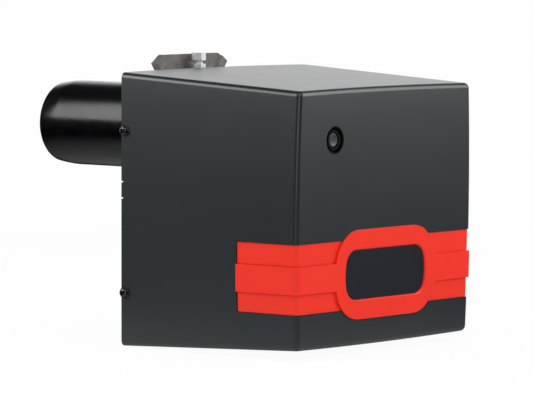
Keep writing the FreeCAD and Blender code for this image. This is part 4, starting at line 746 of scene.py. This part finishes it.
def makeButton():
    s = resetButton
    at = (s["x"], s["front"], 0)
    bore, collar, rim = s["bore"] / 2, s["collar"] / 2, s["hole"] / 2
    edge, sink, lip = s["edge"], s["collarSink"], s["rimEdge"]
    sleeve = turned(at, [
        (bore, s["length"]), (bore, sink + edge), (bore + edge, sink), (collar - edge, sink),
        (collar, sink + edge), (collar, s["floorSink"]), (rim - s["rimWall"], s["floorSink"]),
        (rim - s["rimWall"], 2 * lip), (rim - s["rimWall"] + lip, lip),
        (rim - s["rimFit"], lip), (rim - s["rimFit"], s["length"])], closed=True)
    finishPiece(sleeve, "buttonSleeve", "cover", "black_plastic", ["button_sleeve"])
    face = s["front"] + s["buttonSink"]
    half = s["button"] / 2
    # the crown's rings say how far each lies in from the edge and how deep
    crown = [(half - inward, depth) for inward, depth in s["crown"]]
    button = turned((s["x"], face, 0), [(s["centre"], s["dish"])] + crown + [
        (half, s["root"] - face), (s["centre"], s["root"] - face)], closed=True)
    finishPiece(button, "resetButton", "button", "button_plastic", ["reset_button"])


makeButton()
print("reset button made")

coverScrew = {
    "x": 149.05, "y": -46.9, "heights": (4.0, -161.0), "flange": 11.8, "flangeThickness": 1.1,
    "head": 9.4, "headHeight": 2.8, "socket": 3.0, "socketDepth": 1.8, "shank": 5.0,
    "length": 14.0, "lowEdge": 0.25, "highEdge": 0.3,
    "crown": ((0.1, 1.7), (0.7, 0.7), (1.7, 0.15), (2.4, 0.0)),
}


def makeScrews():
    s = coverScrew
    flange, head, shank = s["flange"] / 2, s["head"] / 2, s["shank"] / 2
    low, high = s["flangeThickness"], s["flangeThickness"] + s["headHeight"]
    # the crown's rings say how far each lies in from the head's side and below its top
    crown = [(head - inward, high - below) for inward, below in s["crown"]]
    master = turned((0, 0, 0), [
        (shank, -s["length"]), (shank, 0), (flange - s["lowEdge"], 0), (flange, s["lowEdge"]),
        (flange, low - s["highEdge"]), (flange - s["highEdge"], low), (head, low)] + crown,
        vertices=40, fillLast=True)
    corner = s["socket"] / 2 / math.cos(math.pi / 6)
    socket = rod((0, high, 0), corner, 2 * s["socketDepth"], "Y", 6)
    cutAway(master, socket)
    number = 0
    for side in (1, -1):
        for height in s["heights"]:
            number += 1
            makeActive(master)
            bpy.ops.object.duplicate()
            screw = bpy.context.object
            screw.rotation_euler = (0, 0, -side * math.pi / 2)
            screw.location = (side * s["x"] * mm, s["y"] * mm, height * mm)
            bakePlace(screw)
            finishPiece(screw, f"coverScrew{number}", "burner", "black_screw", ["cover_screws"])
    bpy.data.objects.remove(master)


makeScrews()
print("cover screws made")

blastTube = {
    "radius": 45.0, "wall": 1.5, "start": -45.5, "flangeRadius": 58.0, "flangeThickness": 3.0,
    "nose": 145.0, "end": 169.0, "drop": 2.4, "lip": 4.0, "steps": 8, "power": 1.6,
    "edge": 0.4,
}


def makeTube():
    s = blastTube
    outer, inner = s["radius"], s["radius"] - s["wall"]
    length = s["end"] - s["nose"]
    curve = [(outer - s["drop"] * (step / s["steps"]) ** s["power"],
              s["nose"] + length * step / s["steps"]) for step in range(s["steps"] + 1)]
    tip = outer - s["drop"] - s["lip"]
    root = s["start"] - s["flangeThickness"]
    rings = [(s["flangeRadius"], root), (s["flangeRadius"], s["start"]), (outer, s["start"])]
    rings += curve
    rings += [(tip + s["edge"], s["end"]), (tip, s["end"] - s["edge"]),
              (tip, s["end"] - s["wall"]),
              (inner - s["drop"], s["end"] - s["wall"]), (inner, s["nose"]), (inner, root)]
    tube = turned((0, 0, 0), rings, vertices=128, closed=True)
    finishPiece(tube, "blastTube", "burner", "black_enamel", ["blast_tube"])


makeTube()
print("blast tube made")

boilerFlange = {
    "thickness": 10.0, "half": 62.0, "ear": 50.0, "low": -62.0, "notchHalf": 49.5, "notch": 60.5,
    "hornHalf": 55.2, "horn": 68.3, "topHalf": 43.5, "top": 77.0,
    "relief": 2.6, "reliefHalf": 37.5,
    "collar": 110.0, "collarLength": 16.0, "bossHalf": 10.0, "bore": 90.12, "bossTop": 60.5,
    "slotSpacing": 92.0, "slotLength": 17.0, "stud": 9.0, "edge": 0.8,
    "root": 5.0, "bossLow": 45.0, "bossClear": 3.0, "boreCut": 60.0,
    "reliefFront": 2.0, "reliefSink": 6.0, "reliefStraight": 4.5, "reliefRise": 13.0,
    "reliefFlare": 10.6, "cutFront": -40.0, "cutBack": 10.0, "edgeAngle": 35,
}
setScrew = {
    "thread": 8.0, "across": 13.0, "head": 8.0, "nut": 6.5, "gap": 3.7,
    "cone": 0.56, "bevel": 0.55, "tipGap": 0.3, "threadGap": 0.1,
}


def makeFlange():
    s = boilerFlange
    plate = box((-s["half"], s["half"]), (-s["thickness"], 0), (s["low"], s["notch"]))
    startEdit()
    for height in (s["ear"], -s["ear"]):
        bisectAt((0, 0, height * mm), (0, 0, 1))
    pick("verts", lambda vert: vert.co.z > (s["notch"] - 1) * mm)
    grow(s["notchHalf"] / s["half"], 1, 1, (0, 0, 0))
    pick("verts", lambda vert: vert.co.z < (s["low"] + 1) * mm)
    grow(s["ear"] / s["half"], 1, 1, (0, 0, 0))
    pick("faces", lambda face: face.normal.z > 0.9)
    drawUp(0, 0, s["horn"] - s["notch"])
    grow(s["hornHalf"] / s["notchHalf"], 1, 1, (0, 0, 0))
    drawUp(0, 0, s["top"] - s["horn"])
    grow(s["topHalf"] / s["hornHalf"], 1, 1, (0, 0, 0))
    endEdit()
    face = -s["thickness"]
    front = face - s["collarLength"]
    root = s["root"]
    weldOn(plate, rod((0, (front - root) / 2, 0), s["collar"] / 2, -front - root, "Y", 96))
    weldOn(plate, box((-s["bossHalf"], s["bossHalf"]), (front, -root),
                      (s["bossLow"], s["bossTop"])))
    half = s["reliefHalf"]
    groove = box((-half, half), (face - s["reliefFront"], face + s["relief"]),
                 (s["bossTop"] - s["reliefSink"], s["bossTop"] + s["reliefStraight"]))
    startEdit()
    pick("faces", lambda face: face.normal.z > 0.9)
    drawUp(0, 0, s["reliefRise"])
    grow((half + s["reliefFlare"]) / half, 1, 1, (0, 0, 0))
    pick("verts", lambda vert: vert.co.y < (face - s["reliefFront"] / 2) * mm)
    grow((half + s["reliefFront"] + s["relief"]) / half, 1, 1, (0, 0, 0))
    endEdit()
    clear = s["bossHalf"] + s["bossClear"]
    cutAway(groove, box((-clear, clear), (front, 0),
                        (s["bossLow"] - root, s["bossTop"] + hair)))
    cutAway(plate, groove)
    cutAway(plate, rod((0, face, 0), s["bore"] / 2, s["boreCut"], "Y", 128))
    reach = (s["slotLength"] - s["stud"]) / 2
    radius = s["stud"] / 2
    back, ahead = s["cutBack"], s["cutFront"]
    for across in (-1, 1):
        for upward in (-1, 1):
            x, z = across * s["slotSpacing"] / 2, upward * s["slotSpacing"] / 2
            cutAway(plate, box((x - reach, x + reach), (ahead, back), (z - radius, z + radius)))
            for end in (-reach, reach):
                cutAway(plate, rod((x + end, (ahead + back) / 2, z), radius, back - ahead,
                                   "Y", 40))
    applyModifier(plate, "BEVEL", width=s["edge"] * mm, segments=2, limit_method="ANGLE",
                  angle_limit=math.radians(s["edgeAngle"]))
    finishPiece(plate, "boilerFlange", "boiler_flange", "cast_metal", ["boiler_flange"])


def hexHead(place, height, bore=0.0):
    # a hexagon with a flat to the front and its points rounded off, standing on its place
    x, y, z = place
    across = setScrew["across"]
    middle = (x, y, z + height / 2)
    head = rod(middle, across / 2 / math.cos(math.pi / 6), height, "Z", 6)
    startEdit()
    bpy.ops.mesh.select_all(action="SELECT")
    bpy.ops.transform.rotate(value=math.pi / 6, orient_axis="Z", orient_type="GLOBAL",
                             center_override=(x * mm, y * mm, z * mm))
    endEdit()
    cone = rod(middle, across * setScrew["cone"], height + 2 * hair, "Z", 48)
    startEdit()
    pick("edges", lambda edge: rise(edge) < hair * mm)
    bpy.ops.mesh.bevel(offset=setScrew["bevel"] * mm, segments=2, affect="EDGES")
    endEdit()
    applyModifier(head, "BOOLEAN", object=cone, operation="INTERSECT", solver="EXACT")
    bpy.data.objects.remove(cone)
    if bore:
        cutAway(head, rod(middle, bore / 2, height + 2, "Z"))
    return head


def makeSetScrew():
    s = setScrew
    boss = boilerFlange["bossTop"]
    y = -boilerFlange["thickness"] - boilerFlange["collarLength"] / 2
    under = boss + s["gap"] + s["nut"]
    head = hexHead((0, y, under), s["head"])
    start = boilerFlange["bore"] / 2 + s["tipGap"]
    shank = rod((0, y, (start + under) / 2), s["thread"] / 2, under - start, "Z", 40)
    screw = joinAll([head, shank])
    finishPiece(screw, "flangeSetScrew", "boiler_flange", "zinc_steel", ["flange_set_screw"])
    nut = hexHead((0, y, boss), s["nut"], s["thread"] + s["threadGap"])
    finishPiece(nut, "flangeLockNut", "boiler_flange", "zinc_steel", ["flange_lock_nut"])


makeFlange()
makeSetScrew()
print("boiler flange made")


# floor, backdrop and light

studio = {
    "floorSize": 2.0, "floorDrop": 0.0002, "floorColor": (0.95, 0.95, 0.95),
    "floorRoughness": 0.9, "whiteShare": 0.95, "floorGloss": 0.42, "glossReach": (0.2, 0.6),
    "worldLight": 0.5, "backdrop": 0.99,
    "lamps": [
        {"name": "leftSoftbox", "at": (-0.9, 0.70, 0.57), "size": 0.8, "watts": 7.8},
        {"name": "rightSoftbox", "at": (1.04, -1.24, 0.66), "size": 1.3, "watts": 14.0},
        {"name": "upperSoftbox", "at": (-0.75, -0.95, 1.05), "size": 0.9, "watts": 4.0},
        {"name": "cameraLight", "at": (-1.9, -1.75, 0.2), "size": 0.45, "watts": 3.2},
    ],
    "aim": (0, -0.15, -0.07),
}

# what glossy surfaces see of the room: dim all round and bright past the part
room = {"ahead": (0.767, 0.638, 0.0), "turn": (0.76, 0.97), "strength": (0.03, 1.45)}


def mixed(tree, factor, first, second):
    # the first shader where the factor is nought and the second where it is one
    mix = tree.nodes.new("ShaderNodeMixShader")
    tree.links.new(factor, mix.inputs["Fac"])
    tree.links.new(first, mix.inputs[1])
    tree.links.new(second, mix.inputs[2])
    return mix.outputs[0]


def whiteForCamera(name):
    # keeps its shading and shadow, reads near white to the camera and fades away in reflections
    material = bpy.data.materials.new(name)
    material.use_nodes = True
    tree = material.node_tree
    shader = tree.nodes["Principled BSDF"]
    shader.inputs["Base Color"].default_value = (*studio["floorColor"], 1)
    shader.inputs["Roughness"].default_value = studio["floorRoughness"]
    shader.inputs["Specular IOR Level"].default_value = 0.0
    glow = tree.nodes.new("ShaderNodeEmission")
    glow.inputs["Color"].default_value = (1, 1, 1, 1)
    glow.inputs["Strength"].default_value = 1.0
    rays = tree.nodes.new("ShaderNodeLightPath")
    scale = tree.nodes.new("ShaderNodeMath")
    scale.operation = "MULTIPLY"
    scale.inputs[1].default_value = studio["whiteShare"]
    tree.links.new(rays.outputs["Is Camera Ray"], scale.inputs[0])
    shown = mixed(tree, scale.outputs[0], shader.outputs[0], glow.outputs[0])
    coordinates = tree.nodes.new("ShaderNodeTexCoord")
    distance = tree.nodes.new("ShaderNodeVectorMath")
    distance.operation = "LENGTH"
    tree.links.new(coordinates.outputs["Object"], distance.inputs[0])
    fade = mapped(tree, distance.outputs["Value"], studio["glossReach"],
                  (studio["floorGloss"], 0.0), "SMOOTHSTEP")
    dim = tree.nodes.new("ShaderNodeEmission")
    tree.links.new(fade, dim.inputs["Strength"])
    last = mixed(tree, rays.outputs["Is Glossy Ray"], shown, dim.outputs[0])
    tree.links.new(last, tree.nodes["Material Output"].inputs["Surface"])
    return material


def roomStrength(tree):
    # brightness that rises as the ray turns to where the room is bright
    coordinates = tree.nodes.new("ShaderNodeTexCoord")
    dot = tree.nodes.new("ShaderNodeVectorMath")
    dot.operation = "DOT_PRODUCT"
    dot.inputs[1].default_value = Vector(room["ahead"]).normalized()
    tree.links.new(coordinates.outputs["Generated"], dot.inputs[0])
    return mapped(tree, dot.outputs["Value"], room["turn"], room["strength"], "SMOOTHSTEP")


def background(tree, strength):
    node = tree.nodes.new("ShaderNodeBackground")
    node.inputs["Color"].default_value = (1, 1, 1, 1)
    node.inputs["Strength"].default_value = strength
    return node


def makeStudio():
    deselectAll()
    bpy.ops.mesh.primitive_plane_add(
        size=studio["floorSize"], location=(0, 0, cadBox[0][2] - studio["floorDrop"]))
    floor = bpy.context.object
    floor.name = "floor"
    floor.data.materials.append(whiteForCamera("floorWhite"))
    world = bpy.data.worlds.new("studio")
    bpy.context.scene.world = world
    world.use_nodes = True
    tree = world.node_tree
    light = tree.nodes["Background"]
    light.inputs["Color"].default_value = (1, 1, 1, 1)
    light.inputs["Strength"].default_value = studio["worldLight"]
    gloss = background(tree, 1.0)
    tree.links.new(roomStrength(tree), gloss.inputs["Strength"])
    seen = background(tree, studio["backdrop"])
    rays = tree.nodes.new("ShaderNodeLightPath")
    first = mixed(tree, rays.outputs["Is Glossy Ray"], light.outputs[0], gloss.outputs[0])
    second = mixed(tree, rays.outputs["Is Camera Ray"], first, seen.outputs[0])
    tree.links.new(second, tree.nodes["World Output"].inputs["Surface"])
    for lamp in studio["lamps"]:
        data = bpy.data.lights.new(lamp["name"], "AREA")
        data.size = lamp["size"]
        data.energy = lamp["watts"]
        item = bpy.data.objects.new(lamp["name"], data)
        item.location = lamp["at"]
        line = Vector(studio["aim"]) - item.location
        item.rotation_euler = line.to_track_quat("-Z", "Y").to_euler()
        item.visible_camera = False
        bpy.context.scene.collection.objects.link(item)


makeStudio()
print("studio made")

photoCamera = {
    "place": (-3.3239, -2.8774, 0.2357), "azimuth": -50.23, "elevation": 4.06, "roll": 0.16,
    "lens": 283.1, "sensor": 36.0, "farthest": 100.0,
}


def makeCamera():
    s = photoCamera
    azimuth, elevation, roll = (math.radians(s[key]) for key in ("azimuth", "elevation", "roll"))
    back = Vector((math.sin(azimuth) * math.cos(elevation),
                   -math.cos(azimuth) * math.cos(elevation), math.sin(elevation)))
    level = (-back).cross(Vector((0, 0, 1))).normalized()
    upward = back.cross(level)
    right = level * math.cos(roll) + upward * math.sin(roll)
    up = upward * math.cos(roll) - level * math.sin(roll)
    data = bpy.data.cameras.new("photoCamera")
    data.lens = s["lens"]
    data.sensor_width = s["sensor"]
    data.clip_end = s["farthest"]
    camera = bpy.data.objects.new("photoCamera", data)
    bpy.context.scene.collection.objects.link(camera)
    turn = Matrix((right, up, back)).transposed().to_4x4()
    camera.matrix_world = Matrix.Translation(Vector(s["place"])) @ turn
    bpy.context.scene.camera = camera


makeCamera()
bpy.context.scene.view_settings.view_transform = "Standard"
print("camera made")
